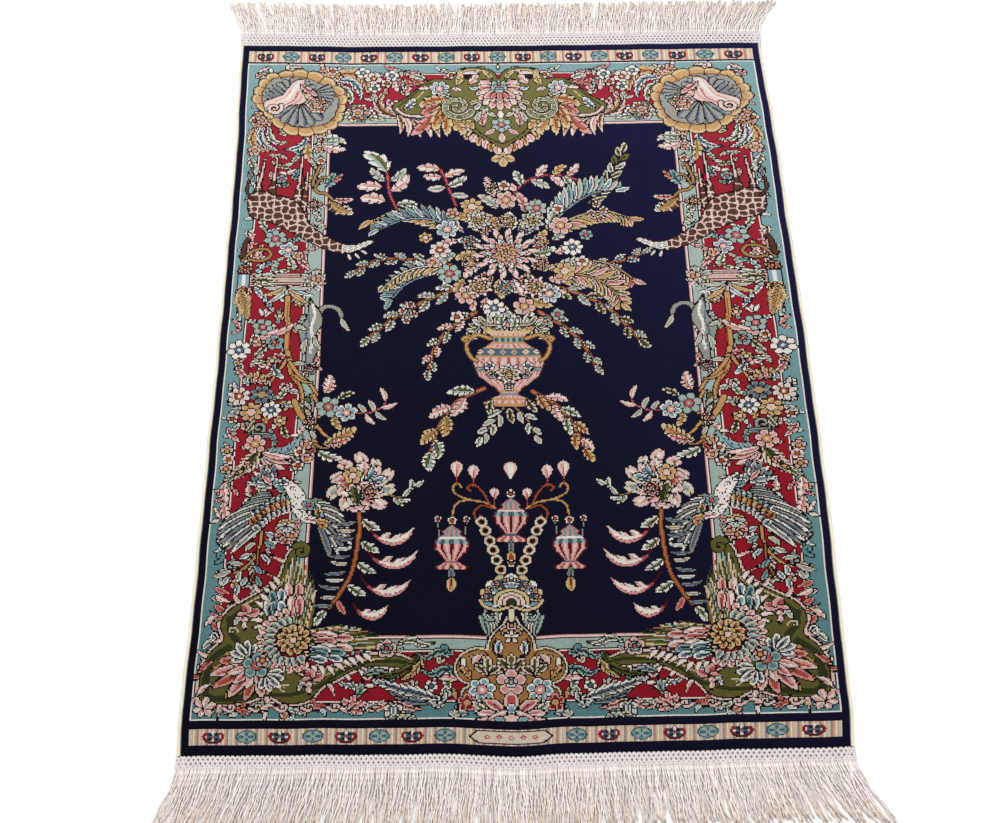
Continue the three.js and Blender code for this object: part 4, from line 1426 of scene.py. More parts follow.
def bouquet():
    """Flowers, plumes and sprays that spread from the vase."""
    far_sprigs()
    for points, tones, length, width, pairs in (
        ([(-60, 120), (-104, 128), (-138, 128), (-164, 112)], ["pale", "sage"], 17, 7.5, 5),
        ([(60, 120), (100, 118), (128, 124), (150, 134)], ["pale", "blue"], 17, 7, 4),
        ([(-50, 90), (-86, 72), (-120, 50), (-146, 24)], ["sage", "pale"], 19, 8.5, 5),
        ([(50, 90), (84, 76), (112, 56), (140, 18)], ["olive", "pale"], 19, 8.5, 5),
        ([(-34, 56), (-62, 34), (-78, 8), (-84, -20)], ["sage", "shell"], 17, 7.5, 4),
        ([(34, 56), (60, 36), (80, 12), (92, -16)], ["pale", "sage"], 17, 7.5, 4),
        ([(-14, 216), (-14, 228), (-16, 236)], ["shell", "olive"], 13, 6.5, 2),
    ):
        spray(points, tones, length, width, pairs, "tan", "rust", 0.85, 4)
    plume(
        [(-46, 172), (-84, 196), (-118, 200), (-146, 186)],
        ["gold", "straw", "olive"], 34, 6.5, 17, "flax", (1,), 0.55,
    )
    plume(
        [(-46, 168), (-80, 186), (-112, 186), (-140, 172)],
        ["blue", "teal", "dusk"], 24, 6, 15, "sky", (-1,), 0.5,
    )
    plume(
        [(48, 176), (78, 206), (104, 222), (126, 224)],
        ["blue", "pale", "teal"], 30, 6.5, 15, "sky", (1,), 0.6,
    )
    plume(
        [(50, 170), (84, 190), (114, 196), (140, 186)],
        ["gold", "straw", "rose"], 28, 6.5, 15, "flax", (-1,), 0.55,
    )
    plume(
        [(-50, 104), (-82, 106), (-108, 94), (-124, 74)],
        ["teal", "blue", "dusk"], 27, 6.5, 14, "sky", (-1,), 0.6,
    )
    plume(
        [(-50, 112), (-84, 118), (-112, 110), (-132, 92)],
        ["olive", "straw"], 19, 6, 13, "cream", (1,), 0.55,
    )
    plume(
        [(50, 112), (86, 124), (116, 118), (138, 98)],
        ["rose", "gold", "flame"], 27, 6.5, 15, "flax", (-1,), 0.6,
    )
    plume(
        [(52, 104), (84, 104), (110, 90), (124, 66)],
        ["straw", "olive", "rose"], 24, 6.5, 13, "gold", (1, -1), 0.6,
    )
    for n in range(22):
        heading = 2 * np.pi * n / 22
        x, y = 54 * np.cos(heading), 136 + 66 * np.sin(heading)
        tone = ("shell", "pale", "sage", "straw", "rose")[n % 5]
        leaf(x, y, heading + 0.35, 28, 12, tone, 0.35, 4)
    for n in range(14):
        heading = 2 * np.pi * n / 14
        x, y = 30 * np.cos(heading), 136 + 36 * np.sin(heading)
        leaf(x, y, heading, 26, 12, ("sage", "straw", "shell")[n % 3], 0.3, 4)
    flowers(
        (
            (-64, 172, 13, "blue", 7), (-72, 142, 12, "cream", 7), (-62, 108, 13, "sky", 7),
            (-44, 78, 12, "rose", 6), (-14, 62, 12, "daisy", 8), (18, 64, 12, "rose", 6),
            (46, 80, 13, "blue", 7), (64, 110, 12, "gold", 7), (74, 144, 12, "daisy", 8),
            (62, 176, 13, "rose", 6), (36, 202, 12, "sky", 7), (2, 214, 12, "rose", 6),
            (-36, 204, 12, "gold", 8), (-88, 160, 7.5, "gold", 6), (90, 162, 7.5, "teal", 6),
            (-80, 124, 7.5, "rose", 5), (84, 124, 7.5, "cream", 5), (-54, 50, 7.5, "cream", 5),
            (54, 52, 7.5, "sky", 5), (0, 234, 7, "cream", 5), (-58, 196, 7, "rose", 5),
            (60, 200, 7, "cream", 5), (-30, 44, 8, "rose", 6), (34, 42, 8, "gold", 6),
            (0, 40, 8, "blue", 6),
        )
    )
    for n in range(10):
        heading = 2 * np.pi * n / 10 + 0.3
        x, y = 40 * np.cos(heading), 137 + 47 * np.sin(heading)
        bunch(x, y, 8.5, (["rose", "cream"], ["sky", "daisy"], ["gold", "cream"])[n % 3], 5, heading)
    blossom(0, 137, 38, ("shell", "rose", "pale"), 14, 0.1, 3, "gold")
    blossom(0, 137, 22, ("blue", "flame", "gold"), 10, 0.0, 0, "rose")
    for side in (-1, 1):
        path = [(side * 4, 34), (side * 16, 40), (side * 30, 36), (side * 38, 26)]
        plume(path, ["sage", "olive"], 14, 6, 8)
        leaf(side * 4, 32, UP - side * 0.4, 22, 9, "sage", side * 0.3, 4)
        leaf(side * 8, 30, UP - side * 1.6, 20, 8, "straw", side * 0.4, 3)
        blossom(side * 30, 90, 15, ("shell", "rose", "gold"), 9, side * 0.3)
        blossom(side * 30, 184, 15, ("pale", "blue", "gold"), 9, side * 0.3)
    buds = ((104, 206), (112, 198), (98, 194), (108, 186), (-104, 66), (-112, 58), (-100, 54), (-108, 46))
    for x, y in buds:
        flower(x, y, 4.6, "cream", 5)


def hanging_sprays():
    """Leafy sprays below the vase."""
    spray(
        [(-26, -44), (-54, -62), (-72, -92), (-80, -122)],
        ["sage", "shell", "straw"], 27, 13, 3, "tan", "rust", 0.8, 5,
    )
    spray(
        [(24, -48), (46, -64), (64, -88), (76, -118)],
        ["gold", "shell", "sage"], 24, 9.5, 4, "tan", "rust", 0.75, 4,
    )
    spray([(-6, -68), (-16, -86), (-28, -104)], ["sage", "pale"], 15, 6.5, 3, "tan")
    spray([(6, -68), (18, -82), (26, -102)], ["pale", "sage"], 14, 6, 2, "tan")
    for x, y, heading in ((-18, -58, -1.9), (18, -58, -1.2), (0, -68, -UP)):
        leaf(x, y, heading, 19, 8, "olive", 0.2, 3)


def draw_chart():
    """Draws the left half and mirrors it, and then adds the vase with its bouquet."""
    ground()
    flora(np.random.default_rng(7))
    beside_far_corner()
    around_animal()
    columns()
    grey_animal()
    tree()
    bough()
    lower_left()
    lower_side()
    near_corner()
    near_border()
    far_corner()
    spread_bird()
    spotted_animal()
    far_cartouche()
    near_cartouche()
    carnations()
    lamp_group()
    half_wide, near, far = STRIPES[0][:3]
    block(HALF_WIDTH, -HALF_LENGTH, near, "navy")
    block(HALF_WIDTH, far, HALF_LENGTH, "navy")
    knots[:, np.abs(COLUMN_X) > half_wide] = NUMBER["navy"]
    end_band(*NEAR_BAND, first=-273.4, step=30.36, count=8)
    end_band(*FAR_BAND, first=-276.0, step=30.67, count=10)
    plain_label()
    knots[:, COLUMNS // 2:] = knots[:, :COLUMNS // 2][:, ::-1]
    bouquet()
    vase()
    hanging_sprays()


draw_chart()


# Laying the cloth

def eased(rows, along):
    """Reads an (along, lies) table, easing smoothly from row to row."""
    stations = np.array([row[0] for row in rows], float)
    lies = np.array([row[1] for row in rows], float)
    along = np.clip(along, stations[0], stations[-1])
    after = np.clip(np.searchsorted(stations, along), 1, len(rows) - 1)
    share = (along - stations[after - 1]) / (stations[after] - stations[after - 1])
    share = share * share * (3 - 2 * share)
    return lies[after - 1] + (lies[after] - lies[after - 1]) * share


def settle(x, y):
    """Where points of the woven rectangle lie on the floor, in the frame, in millimetres."""
    x, y = x + eased(DRAWN_ACROSS, x), y + eased(DRAWN_ALONG, y)
    across = (x + HALF_WIDTH) / (2 * HALF_WIDTH)
    up = (y + HALF_LENGTH) / (2 * HALF_LENGTH)
    left, right = eased(LEFT_EDGE, y), eased(RIGHT_EDGE, y)
    near, far = eased(NEAR_EDGE, x), eased(FAR_EDGE, x)
    ripple_x = 0.45 * np.sin(y / 13.0) * np.sin(y / 47.0 + 1.0) * (2 * across - 1)
    ripple_y = 0.35 * np.sin(x / 11.0 + 2.0) * np.sin(x / 39.0) * (2 * up - 1)
    return (
        left + (right - left) * across + ripple_x + MIDDLE[0],
        near + (far - near) * up + ripple_y + MIDDLE[1],
    )


def linear(colours):
    """Linear light from sRGB shares."""
    return np.where(colours <= 0.04045, colours / 12.92, ((colours + 0.055) / 1.055) ** 2.4)


def new_object(name, mesh):
    piece = bpy.data.objects.new(name, mesh)
    bpy.context.scene.collection.objects.link(piece)
    return piece


def mesh_from(name, points, faces, tint, tint_domain="POINT", corner_maps=()):
    """A dyed mesh, in metres, of points in millimetres. corner_maps are (name, uv per face corner)."""
    mesh = bpy.data.meshes.new(name)
    sides = faces.shape[1]
    mesh.vertices.add(len(points))
    mesh.vertices.foreach_set("co", (points / 1000).astype(np.float32).ravel())
    mesh.loops.add(faces.size)
    mesh.loops.foreach_set("vertex_index", faces.astype(np.int32).ravel())
    mesh.polygons.add(len(faces))
    mesh.polygons.foreach_set("loop_start", np.arange(0, faces.size, sides, dtype=np.int32))
    mesh.update(calc_edges=True)
    mesh.polygons.foreach_set("use_smooth", np.ones(len(faces), bool))
    for map_name, uv in corner_maps:
        layer = mesh.uv_layers.new(name=map_name)
        layer.data.foreach_set("uv", uv.astype(np.float32).ravel())
    layer = mesh.color_attributes.new("dye", "BYTE_COLOR", tint_domain)
    rgba = np.ones((len(tint), 4), np.float32)
    rgba[:, :3] = tint
    layer.data.foreach_set("color", rgba.ravel())
    return mesh


def knot_colours():
    """Each knot's linear colour, uneven from row to row, with the nap's sheen and shade painted in: deeper
    near, paler far.
    """
    rng = np.random.default_rng(3)
    table = linear(np.array([DYES[name] for name in DYES]) / 255)
    shade = 1 + 0.07 * rng.standard_normal((ROWS, COLUMNS))
    hank = 24
    hanks = rng.standard_normal(ROWS // hank + 2)
    abrash = 0.04 * np.interp(np.arange(ROWS), np.arange(0, ROWS + hank, hank), hanks)
    # Painted sheen and shade from near to far: the navy's sheen, the depth of the other dyes and their
    # brightness.
    stations = [-450, -230, -60, 200, 450]
    painted_navy_sheen = np.interp(ROW_Y, stations, [0.46, 0.58, 0.8, 1.1, 1.35])[:, None]
    # The navy's painted sheen is brighter towards the right as well.
    painted_navy_sheen = painted_navy_sheen * np.interp(COLUMN_X, [-305, 0, 305], [0.8, 1.0, 1.8])
    # Painted depth of the other dyes: a power above one deepens them near, below one pales them far.
    nap = np.interp(ROW_Y, [-450, -230, 0, 200, 450], [1.14, 1.12, 1.0, 0.94, 0.86])
    painted_sheen_level = np.interp(ROW_Y, stations, [0.67, 0.7, 0.76, 0.79, 0.8])
    field = knots == NUMBER["navy"]
    near, far = [(ROW_Y > low) & (ROW_Y < high) for low, high in (NEAR_BAND, FAR_BAND)]
    flat = (near | far)[:, None] & ~field
    # The teal is painted deeper still towards the near end.
    painted_teal_depth = nap * np.interp(ROW_Y, [-450, -200, 100], [1.3, 1.12, 1.0])
    nap = np.where(knots == NUMBER["teal"], painted_teal_depth[:, None], nap[:, None])
    # The flat bands get one painted depth, and a painted brightness darker at the near band than at the far.
    nap = np.where(flat, 1.15, nap)
    painted_sheen_level = np.where(flat, 0.91 + 0.12 * np.sign(ROW_Y)[:, None], painted_sheen_level[:, None])
    dyed = np.where(field[..., None], table[knots] * painted_navy_sheen[..., None], table[knots] ** nap[..., None])
    return dyed * (np.clip(shade + abrash[:, None], 0.7, 1.3) * painted_sheen_level)[..., None]


CORNER_X = np.linspace(-HALF_WIDTH, HALF_WIDTH, COLUMNS + 1)
CORNER_Y = np.linspace(-HALF_LENGTH, HALF_LENGTH, ROWS + 1)
BAND_COLUMNS = np.abs(COLUMN_X) < BAND_HALF_WIDTH
band_cells = {
    end: ((ROW_Y > low) & (ROW_Y < high))[:, None] & BAND_COLUMNS
    for end, (low, high) in (("near", NEAR_BAND), ("far", FAR_BAND))
}
pile_cells = ~(band_cells["near"] | band_cells["far"])


def corners_inside(cells):
    """The grid corners whose four cells are all chosen."""
    padded = np.pad(cells, 1)
    return padded[:-1, :-1] & padded[1:, :-1] & padded[:-1, 1:] & padded[1:, 1:]


def woven_sheet(name, cells, heights):
    """A quad for each chosen knot, coloured as it is dyed, on a shared grid of heights."""
    padded = np.pad(cells, 1)
    used = padded[:-1, :-1] | padded[1:, :-1] | padded[:-1, 1:] | padded[1:, 1:]
    number = np.full(used.shape, -1)
    number[used] = np.arange(used.sum())
    rows, columns = np.nonzero(used)
    x, y = settle(CORNER_X[columns], CORNER_Y[rows])
    points = np.stack([x, y, heights[used]], 1)
    r, c = np.nonzero(cells)
    faces = np.stack([number[r, c], number[r, c + 1], number[r + 1, c + 1], number[r + 1, c]], 1)
    weave = np.stack([np.stack([c + i, r + j], 1) for i, j in ((0, 0), (1, 0), (1, 1), (0, 1))], 1)
    low, high = weave.reshape(-1, 2).min(0), weave.reshape(-1, 2).max(0)
    flat = (weave - low) / (high - low)
    tint = np.repeat(knot_tint[cells], 4, axis=0)
    maps = (("weave", weave), ("OFBake", flat))
    return new_object(name, mesh_from(name, points, faces, tint, "CORNER", maps))


knot_tint = knot_colours()


# Materials

def material(name, roughness, sheen=0.0, sheen_tint=(1, 1, 1), specular=0.3):
    """A new node material with its Principled shader."""
    made = bpy.data.materials.new(name)
    made.use_nodes = True
    shader = made.node_tree.nodes["Principled BSDF"]
    shader.inputs["Roughness"].default_value = roughness
    shader.inputs["Sheen Weight"].default_value = sheen
    shader.inputs["Sheen Roughness"].default_value = 0.4
    shader.inputs["Sheen Tint"].default_value = (*sheen_tint, 1)
    shader.inputs["Specular IOR Level"].default_value = specular
    return made, shader


def add(made, kind, **values):
    """A node with its properties set, and its input sockets by name or number."""
    node = made.node_tree.nodes.new(kind)
    inputs = values.pop("inputs", {})
    for key, value in values.items():
        setattr(node, key, value)
    for key, value in inputs.items():
        if isinstance(value, bpy.types.NodeSocket):
            made.node_tree.links.new(value, node.inputs[key])
        else:
            node.inputs[key].default_value = value
    return node


def math(made, operation, a, b=0.0):
    return add(made, "ShaderNodeMath", operation=operation, inputs={0: a, 1: b}).outputs[0]


def noise(made, scale, detail, stretch=(1, 1, 1)):
    """Noise on the object's own coordinates, in metres."""
    place = add(made, "ShaderNodeTexCoord").outputs["Object"]
    scaled = add(made, "ShaderNodeVectorMath", operation="MULTIPLY", inputs={0: place, 1: stretch}).outputs[0]
    inputs = {"Vector": scaled, "Scale": scale, "Detail": detail}
    return add(made, "ShaderNodeTexNoise", inputs=inputs).outputs[0]


def shaded(made, colour, factor, low, high):
    """The colour darkened to low where the factor is 0 and lifted to high where it is 1."""
    level = add(made, "ShaderNodeMapRange", inputs={0: factor, 3: low, 4: high}).outputs[0]
    return add(made, "ShaderNodeVectorMath", operation="SCALE", inputs={0: colour, 3: level}).outputs[0]


def finish_shader(made, shader, colour, height, strength, distance):
    """Gives the shader its colour and its bump."""
    inputs = {"Strength": strength, "Distance": distance, "Height": height}
    made.node_tree.links.new(colour, shader.inputs["Base Color"])
    made.node_tree.links.new(add(made, "ShaderNodeBump", inputs=inputs).outputs[0], shader.inputs["Normal"])


def dyes_of(made):
    """The colour that each knot or strand is dyed."""
    return add(made, "ShaderNodeVertexColor", layer_name="dye").outputs[0]


def ridges(made, along, waves):
    """Rounded ridges along a coordinate, with waves in radians for each of its units."""
    return math(made, "ABSOLUTE", math(made, "SINE", math(made, "MULTIPLY", along, waves)))


def tuft_height(made, rows=1.0):
    """One soft hump for each knot, or as many as rows says along it, from the weave map."""
    spot = add(made, "ShaderNodeUVMap", uv_map="weave").outputs[0]
    parts = add(made, "ShaderNodeSeparateXYZ", inputs={0: spot})
    humps = [ridges(made, parts.outputs[axis], np.pi * count) for axis, count in ((0, 1.0), (1, rows))]
    return math(made, "MULTIPLY", *humps)


def pile_material():
    """Cut silk: dyed tufts with a soft bluish bloom, brushed a little unevenly, with painted shade between
    the tufts and painted sheen in patches.
    """
    made, shader = material("silk_pile", 0.62, 0.02, (0.7, 0.78, 1.0), 0.035)
    dyed = dyes_of(made)
    tuft = tuft_height(made)
    brushed = noise(made, 26, 3.0, (1, 0.55, 1))
    # Painted shade in the dips between the tufts, and painted sheen lighter and darker in broad brushed
    # patches.
    colour = shaded(made, shaded(made, dyed, tuft, 0.86, 1.1), brushed, 0.88, 1.12)
    fibre = noise(made, 900, 2.0)
    nap = math(made, "ADD", math(made, "MULTIPLY", brushed, 1.6), math(made, "MULTIPLY", fibre, 0.35))
    finish_shader(made, shader, colour, math(made, "ADD", tuft, nap), 0.45, 0.0006)
    return made


def flatweave_material():
    """The end bands: tight ribs without pile."""
    made, shader = material("silk_flatweave", 0.65, 0.03, specular=0.1)
    dyed = dyes_of(made)
    rib = tuft_height(made, 2.0)
    # The colour is painted darker in the grooves between the ribs: painted shade.
    finish_shader(made, shader, shaded(made, dyed, rib, 0.74, 1.1), rib, 0.6, 0.0005)
    return made


def back_material():
    """The underside: flat knot backs in rows between fine wefts."""
    made, shader = material("silk_back", 0.75, 0.1)
    dyed = dyes_of(made)
    place = add(made, "ShaderNodeTexCoord").outputs["Object"]
    parts = add(made, "ShaderNodeSeparateXYZ", inputs={0: place})
    row_waves, warp_waves = 2416.0, 2421.0
    rows = ridges(made, parts.outputs[1], row_waves)
    knotted = math(made, "MULTIPLY", rows, ridges(made, parts.outputs[0], warp_waves))
    # The colour is painted darker in the grooves round the knot backs and between the wefts: painted shade.
    finish_shader(made, shader, shaded(made, dyed, knotted, 0.66, 1.05), knotted, 0.5, 0.0005)
    return made


def thread_material(name, tones, roughness, ridge):
    """Undyed silk thread, its tone given along each strand and mottled a little."""
    made, shader = material(name, roughness, 0.2, (1, 0.97, 0.92))
    dyed = dyes_of(made)
    colour = shaded(made, dyed, noise(made, 160, 3.0), *tones)
    finish_shader(made, shader, colour, noise(made, ridge, 2.0), 0.35, 0.0004)
    return made


# Pieces

def woven_piece(name, cells, heights, finish):
    piece = woven_sheet(name, cells, heights)
    piece.data.materials.append(finish)
    return piece


def pile_strips():
    """The pile in four strips that share one grid, low at its rim and beside the flat bands."""
    rng = np.random.default_rng(21)
    inside = corners_inside(pile_cells)
    heights = np.where(inside, PILE_TOP, RIM_TOP) + 0.09 * rng.standard_normal(inside.shape) * inside
    finish = pile_material()
    rows = np.arange(ROWS)[:, None]
    pieces = []
    for n in range(4):
        cells = pile_cells & (rows >= ROWS * n // 4) & (rows < ROWS * (n + 1) // 4)
        pieces.append(woven_piece(f"pile_{n + 1}", cells, heights, finish))
    return pieces


def flat_bands():
    """The two flat-woven stripes, ribbed along the warps."""
    finish = flatweave_material()
    rib = 0.16 * (np.arange(COLUMNS + 1) % 2)
    heights = np.broadcast_to(FLATWEAVE_TOP + rib, (ROWS + 1, COLUMNS + 1))
    return [woven_piece(f"flatweave_{end}", band_cells[end], heights, finish) for end in ENDS]


def foundation():
    """The woven ground of the whole carpet: a thin closed slab whose back shows the knots."""
    step = 4
    columns = np.append(np.arange(0, COLUMNS, step), COLUMNS)
    rows = np.append(np.arange(0, ROWS, step), ROWS)
    wide, long = len(columns), len(rows)
    gx, gy = np.meshgrid(CORNER_X[columns], CORNER_Y[rows])
    x, y = settle(gx.ravel(), gy.ravel())
    number = np.arange(wide * long).reshape(long, wide)
    back = np.stack([number[:-1, :-1], number[1:, :-1], number[1:, 1:], number[:-1, 1:]], -1).reshape(-1, 4)
    rim = np.concatenate([number[0, :], number[1:, -1], number[-1, -2::-1], number[-2:0:-1, 0]])
    top = wide * long + np.arange(len(rim))
    walls = np.stack([rim, np.roll(rim, -1), np.roll(top, -1), top], 1)
    flat = np.stack([x, y, np.zeros(wide * long)], 1)
    lid = np.stack([x[rim], y[rim], np.full(len(rim), GROUND_TOP)], 1)
    points = np.vstack([flat, lid])
    nearest = knot_tint[np.minimum(rows, ROWS - 1)][:, np.minimum(columns, COLUMNS - 1)].reshape(-1, 3)
    tint = np.vstack([nearest, nearest[rim]])
    mesh = mesh_from("carpet_ground", points, np.vstack([back, walls]), tint)
    close_lid(mesh, top)
    piece = new_object("carpet_ground", mesh)
    piece.data.materials.append(back_material())
    return piece


def close_lid(mesh, loop):
    """Adds one face over a loop of points."""
    work = bmesh.new()
    work.from_mesh(mesh)
    work.verts.ensure_lookup_table()
    work.faces.new([work.verts[int(n)] for n in loop])
    work.to_mesh(mesh)
    work.free()


def tubes(name, paths, radii, sides, tint, twist):
    """Tubes along many paths at once, capped if four-sided. paths is (tubes, steps, 3), the rest match."""
    count, steps = paths.shape[:2]
    ahead = np.gradient(paths, axis=1)
    ahead /= np.linalg.norm(ahead, axis=2, keepdims=True)
    level = np.cross(ahead, [0.0, 0.0, 1.0])
    level /= np.linalg.norm(level, axis=2, keepdims=True)
    upward = np.cross(level, ahead)
    turn = 2 * np.pi * np.arange(sides) / sides + twist * np.arange(steps)[:, None] + np.pi / sides
    c, s = np.cos(turn)[None, ..., None], np.sin(turn)[None, ..., None]
    ring = level[:, :, None] * c + upward[:, :, None] * s
    points = (paths[:, :, None] + ring * radii[:, :, None, None]).reshape(-1, 3)
    points[:, 2] = np.maximum(points[:, 2], 0.0)
    first = np.arange(count)[:, None, None] * steps * sides
    a = first + np.arange(steps - 1)[None, :, None] * sides + np.arange(sides)
    b = first + np.arange(steps - 1)[None, :, None] * sides + (np.arange(sides) + 1) % sides
    walls = np.stack([a, a + sides, b + sides, b], -1).reshape(-1, 4)
    faces = [walls]
    if sides == 4:
        start = np.arange(count)[:, None] * steps * sides
        end = start + (steps - 1) * sides
        faces.append(start + np.arange(4))
        faces.append(end + np.arange(3, -1, -1))
    tint = np.repeat(tint.reshape(-1, 3), sides, axis=0)
    return new_object(name, mesh_from(name, points, np.vstack(faces), tint))


def threads(colours):
    return linear(np.array(colours) / 255)


def selvedge(side, name):
    """An edge cord overcast with thread, its turns standing up as slanting ridges."""
    steps, turn_length, drifts = 1200, 2.25, 120
    along = np.linspace(-HALF_LENGTH, HALF_LENGTH, steps)
    centre = side * (HALF_WIDTH + PIECE_GAP + SELVEDGE_RADIUS)
    x, y = settle(np.full(along.shape, centre), along)
    rng = np.random.default_rng(31 + side)
    wander = np.interp(along, np.linspace(-HALF_LENGTH, HALF_LENGTH, drifts), rng.standard_normal(drifts))
    ridge = np.abs(np.sin(np.pi * along / turn_length))
    radii = SELVEDGE_RADIUS * (0.8 + 0.14 * ridge + 0.03 * wander)
    path = np.stack([x, y, np.full(along.shape, SELVEDGE_RADIUS * 0.95)], 1)
    # The colour is painted lighter on the crests of the turns and darker in the grooves between them: painted
    # highlight and painted shade, with a little random unevenness.
    low, high = threads((196, 182, 156)), threads((236, 228, 210))
    tint = low + (high - low) * (0.35 + 0.6 * ridge + 0.06 * wander)[:, None]
    return tubes(name, path[None], radii[None], 8, np.clip(tint, 0, 1)[None], 0.35)


def net(end_name):
    """The knotted heading: warp ends crossing in diamonds and knotted where they meet."""
    end = ENDS[end_name]
    side, depth, rows = end["side"], end["net_depth"], end["net_rows"]
    rng = np.random.default_rng(41 + side)
    pitch = 4.5
    count = int(2 * NET_HALF_WIDTH / pitch)
    starts, tips = [], []
    for r in range(rows):
        shift = 0.5 * (r % 2)
        for k in range(count + 1):
            x0 = -NET_HALF_WIDTH + pitch * (k + shift)
            for way in (-0.5, 0.5):
                starts.append((x0, r))
                tips.append((x0 + way * pitch, r + 1))
    starts = np.clip(np.array(starts), [-LAST_CORD, 0], [LAST_CORD, rows])
    tips = np.clip(np.array(tips), [-LAST_CORD, 0], [LAST_CORD, rows])
    t = np.linspace(0, 1, 4)[None, :, None]
    flat = starts[:, None] * (1 - t) + tips[:, None] * t
    out = side * (HALF_LENGTH + PIECE_GAP - 0.2 + flat[..., 1] * depth / rows)
    x, y = settle(flat[..., 0], out)
    lift = 1.3 + 0.35 * np.sin(np.pi * t[..., 0]) + 0.1 * rng.standard_normal(x.shape)
    paths = np.stack([x, y, lift], -1)
    radii = np.full(x.shape, end["cord"])
    cream, shadow = threads((230, 224, 222)), threads((221, 211, 209))
    tone = rng.random((len(paths), 1, 1))
    tint = np.broadcast_to(cream * (1 - tone) + shadow * tone, paths.shape)
    cords = tubes(f"net_{end_name}", paths, radii, 4, tint, 0.5)
    return [cords, net_knots(end_name, pitch, count, rng)]


def net_knots(end_name, pitch, count, rng):
    """A small tight ball at every crossing of the net."""
    end = ENDS[end_name]
    side, depth, rows = end["side"], end["net_depth"], end["net_rows"]
    crossings = [
        (-NET_HALF_WIDTH + pitch * (k + 0.5 * (r % 2)), r) for r in range(rows + 1) for k in range(count + 1)
    ]
    crossings = np.clip(np.array(crossings), [-NET_HALF_WIDTH + 1, 0.3], [NET_HALF_WIDTH - 1, rows])
    x, y = settle(crossings[:, 0], side * (HALF_LENGTH + PIECE_GAP + crossings[:, 1] * depth / rows))
    steps, ball = 5, 1.5
    t = np.linspace(-1, 1, steps)
    radii = np.broadcast_to(np.sqrt(np.maximum(1 - t**2, 0.02)) * ball, (len(x), steps))
    reach = t[None, :] * ball
    paths = np.stack([x[:, None] + reach * 0.25, y[:, None] + reach, np.full((len(x), steps), ball)], -1)
    tone = rng.uniform(0.9, 1.0, (len(x), 1, 1))
    tint = np.broadcast_to(threads((234, 228, 226)) * tone, paths.shape)
    return tubes(f"net_knots_{end_name}", paths, radii, 4, tint, 0.3)


def fringe(end_name):
    """Loose twisted warp ends in three layers, wavy and crossing, leaning outwards at the corners."""
    end = ENDS[end_name]
    side = end["side"]
    rng = np.random.default_rng(51 + side)
    count, steps = 600, 12
    root = np.linspace(-LAST_CORD, LAST_CORD, count) + rng.uniform(-0.4, 0.4, count)
    layer = np.arange(count) % 3
    share = np.linspace(0, 1, steps)
    drift = sum(1.1 * np.sin(2 * np.pi * root / wave + i + side + layer) for i, wave in enumerate((43, 97)))
    lean = eased(end["lean"], root) + drift + rng.normal(0, 3.2, count)
    reach = end["length"] - 1.0 + rng.uniform(-6, 3.5, count)
    phase = rng.uniform(0, 2 * np.pi, (count, 1))
    wave = 0.95 * np.sin(phase + share * rng.uniform(8, 17, (count, 1))) * np.minimum(1, 3 * share)
    start = HALF_LENGTH + PIECE_GAP + end["net_depth"] - 0.5
    across = root[:, None] + lean[:, None] * share**1.4 + wave
    out = start + reach[:, None] * share
    x, y = settle(across, side * out)
    resting = 0.95 + 0.8 * layer[:, None] + 0.3 * rng.standard_normal((count, 1))
    down = np.clip(share / 0.2, 0, 1)
    lift = 1.8 * (1 - down) + np.maximum(resting, 0.7) * down * (1 - 0.4 * share**3)
    paths = np.stack([x, y, lift], -1)
    radii = np.broadcast_to(1.0 - 0.16 * share, (count, steps)) * rng.uniform(0.86, 1.12, (count, 1))
    pale, warm = threads((249, 241, 238)), threads((232, 206, 183))
    warmth = 0.08 + 0.5 * share**2 * rng.uniform(0, 1.6, (count, 1)) + rng.normal(0, 0.1, (count, 1))
    tint = (pale + (warm - pale) * np.clip(warmth, 0, 1)[..., None]) * rng.uniform(0.8, 1.05, (count, 1, 1))
    return tubes(f"fringe_{end_name}_strands", paths, radii, 4, np.clip(tint, 0, 1), 0.8)


def binding(end_name):
    """The fine twined line between the net and the fringe."""
    end = ENDS[end_name]
    steps = 420
    along = np.linspace(-NET_HALF_WIDTH + 1, NET_HALF_WIDTH - 1, steps)
    out = end["side"] * (HALF_LENGTH + PIECE_GAP + end["net_depth"] + 0.4)
    x, y = settle(along, np.full(along.shape, out))
    twine = np.sin(along * 2.4)
    path = np.stack([x, y + 0.2 * twine, 2.15 + 0.15 * twine], 1)[None]
    radii = (0.55 + 0.1 * np.abs(twine))[None]
    tint = np.broadcast_to(threads((232, 224, 221)), path.shape)
    return tubes(f"binding_{end_name}", path, radii, 4, tint, 0.6)


# The stage

def floor():
    """A large plain pale floor just under the rug."""
    mesh = bpy.data.meshes.new("floor")
    reach = 6.0
    corners = [(-reach, -reach, 0), (reach, -reach, 0), (reach, reach, 0), (-reach, reach, 0)]
    mesh.from_pydata(corners, [], [(0, 1, 2, 3)])
    piece = new_object("floor", mesh)
    piece.location.z = -0.0002
    made, shader = material("floor", 0.9, specular=0.1)
    shader.inputs["Base Color"].default_value = (0.93, 0.93, 0.93, 1)
    mesh.materials.append(made)


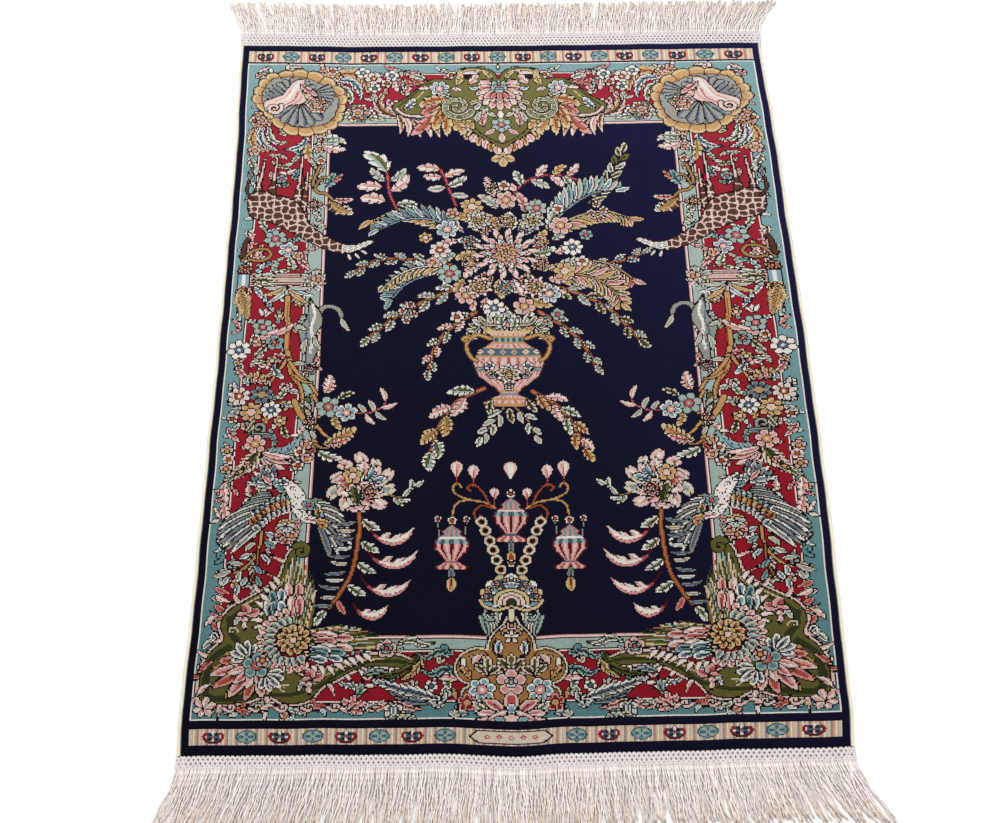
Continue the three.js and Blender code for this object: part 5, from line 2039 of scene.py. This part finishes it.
def area_light(name, place, size, power):
    """A square soft light that looks at the rug's middle."""
    lamp_data = bpy.data.lights.new(name, "AREA")
    lamp_data.size = size
    lamp_data.energy = power
    piece = bpy.data.objects.new(name, lamp_data)
    piece.location = place
    piece.rotation_euler = (-Vector(place)).to_track_quat("-Z", "Y").to_euler()
    bpy.context.scene.collection.objects.link(piece)


def lights():
    world = bpy.data.worlds.new("studio")
    world.use_nodes = True
    sky = world.node_tree.nodes["Background"]
    sky.inputs["Color"].default_value = (1, 1, 1, 1)
    sky.inputs["Strength"].default_value = 0.74
    bpy.context.scene.world = world
    area_light("key", (-0.9, 1.5, 2.2), 1.2, 40)
    area_light("fill", (1.4, -0.9, 2.0), 1.6, 18)


def camera():
    """The photograph's view: 1000 by 823 pixels, with the lens found from the rug's corners."""
    focal_pixels, frame_pixels, sensor = 1815.0, 1000.0, 36.0
    place, target = Vector((-0.0334, -1.1128, 1.5433)), Vector((-0.0111, -0.0768, 0.004))
    roll = 0.0076
    data = bpy.data.cameras.new("camera")
    data.sensor_width = sensor
    data.lens = focal_pixels / frame_pixels * sensor
    piece = bpy.data.objects.new("camera", data)
    piece.location = place
    piece.rotation_mode = "QUATERNION"
    piece.rotation_quaternion = (target - place).to_track_quat("-Z", "Y") @ Quaternion((0, 0, 1), roll)
    bpy.context.scene.collection.objects.link(piece)
    bpy.context.scene.camera = piece


def finished(piece, node, finish=None):
    """Hangs a piece on the body, in place of its solid."""
    if finish:
        piece.data.materials.append(finish)
    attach(piece, "root")
    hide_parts(node)
    return piece


camera()
lights()
floor()
bpy.context.scene.view_settings.view_transform = "Standard"

edging = thread_material("selvedge_silk", (0.88, 1.06), 0.6, 1400)
warp_ends = thread_material("fringe_silk", (0.9, 1.05), 0.65, 1100)

base = finished(foundation(), "carpet")
trim = [finished(piece, "carpet") for piece in pile_strips() + flat_bands()]
for side, name in ((-1, "left"), (1, "right")):
    cord = selvedge(side, f"overcast_{name}")
    trim.append(finished(cord, f"selvedge_{name}", edging))
for end_name in ENDS:
    for piece in [*net(end_name), binding(end_name), fringe(end_name)]:
        trim.append(finished(piece, f"fringe_{end_name}", warp_ends))
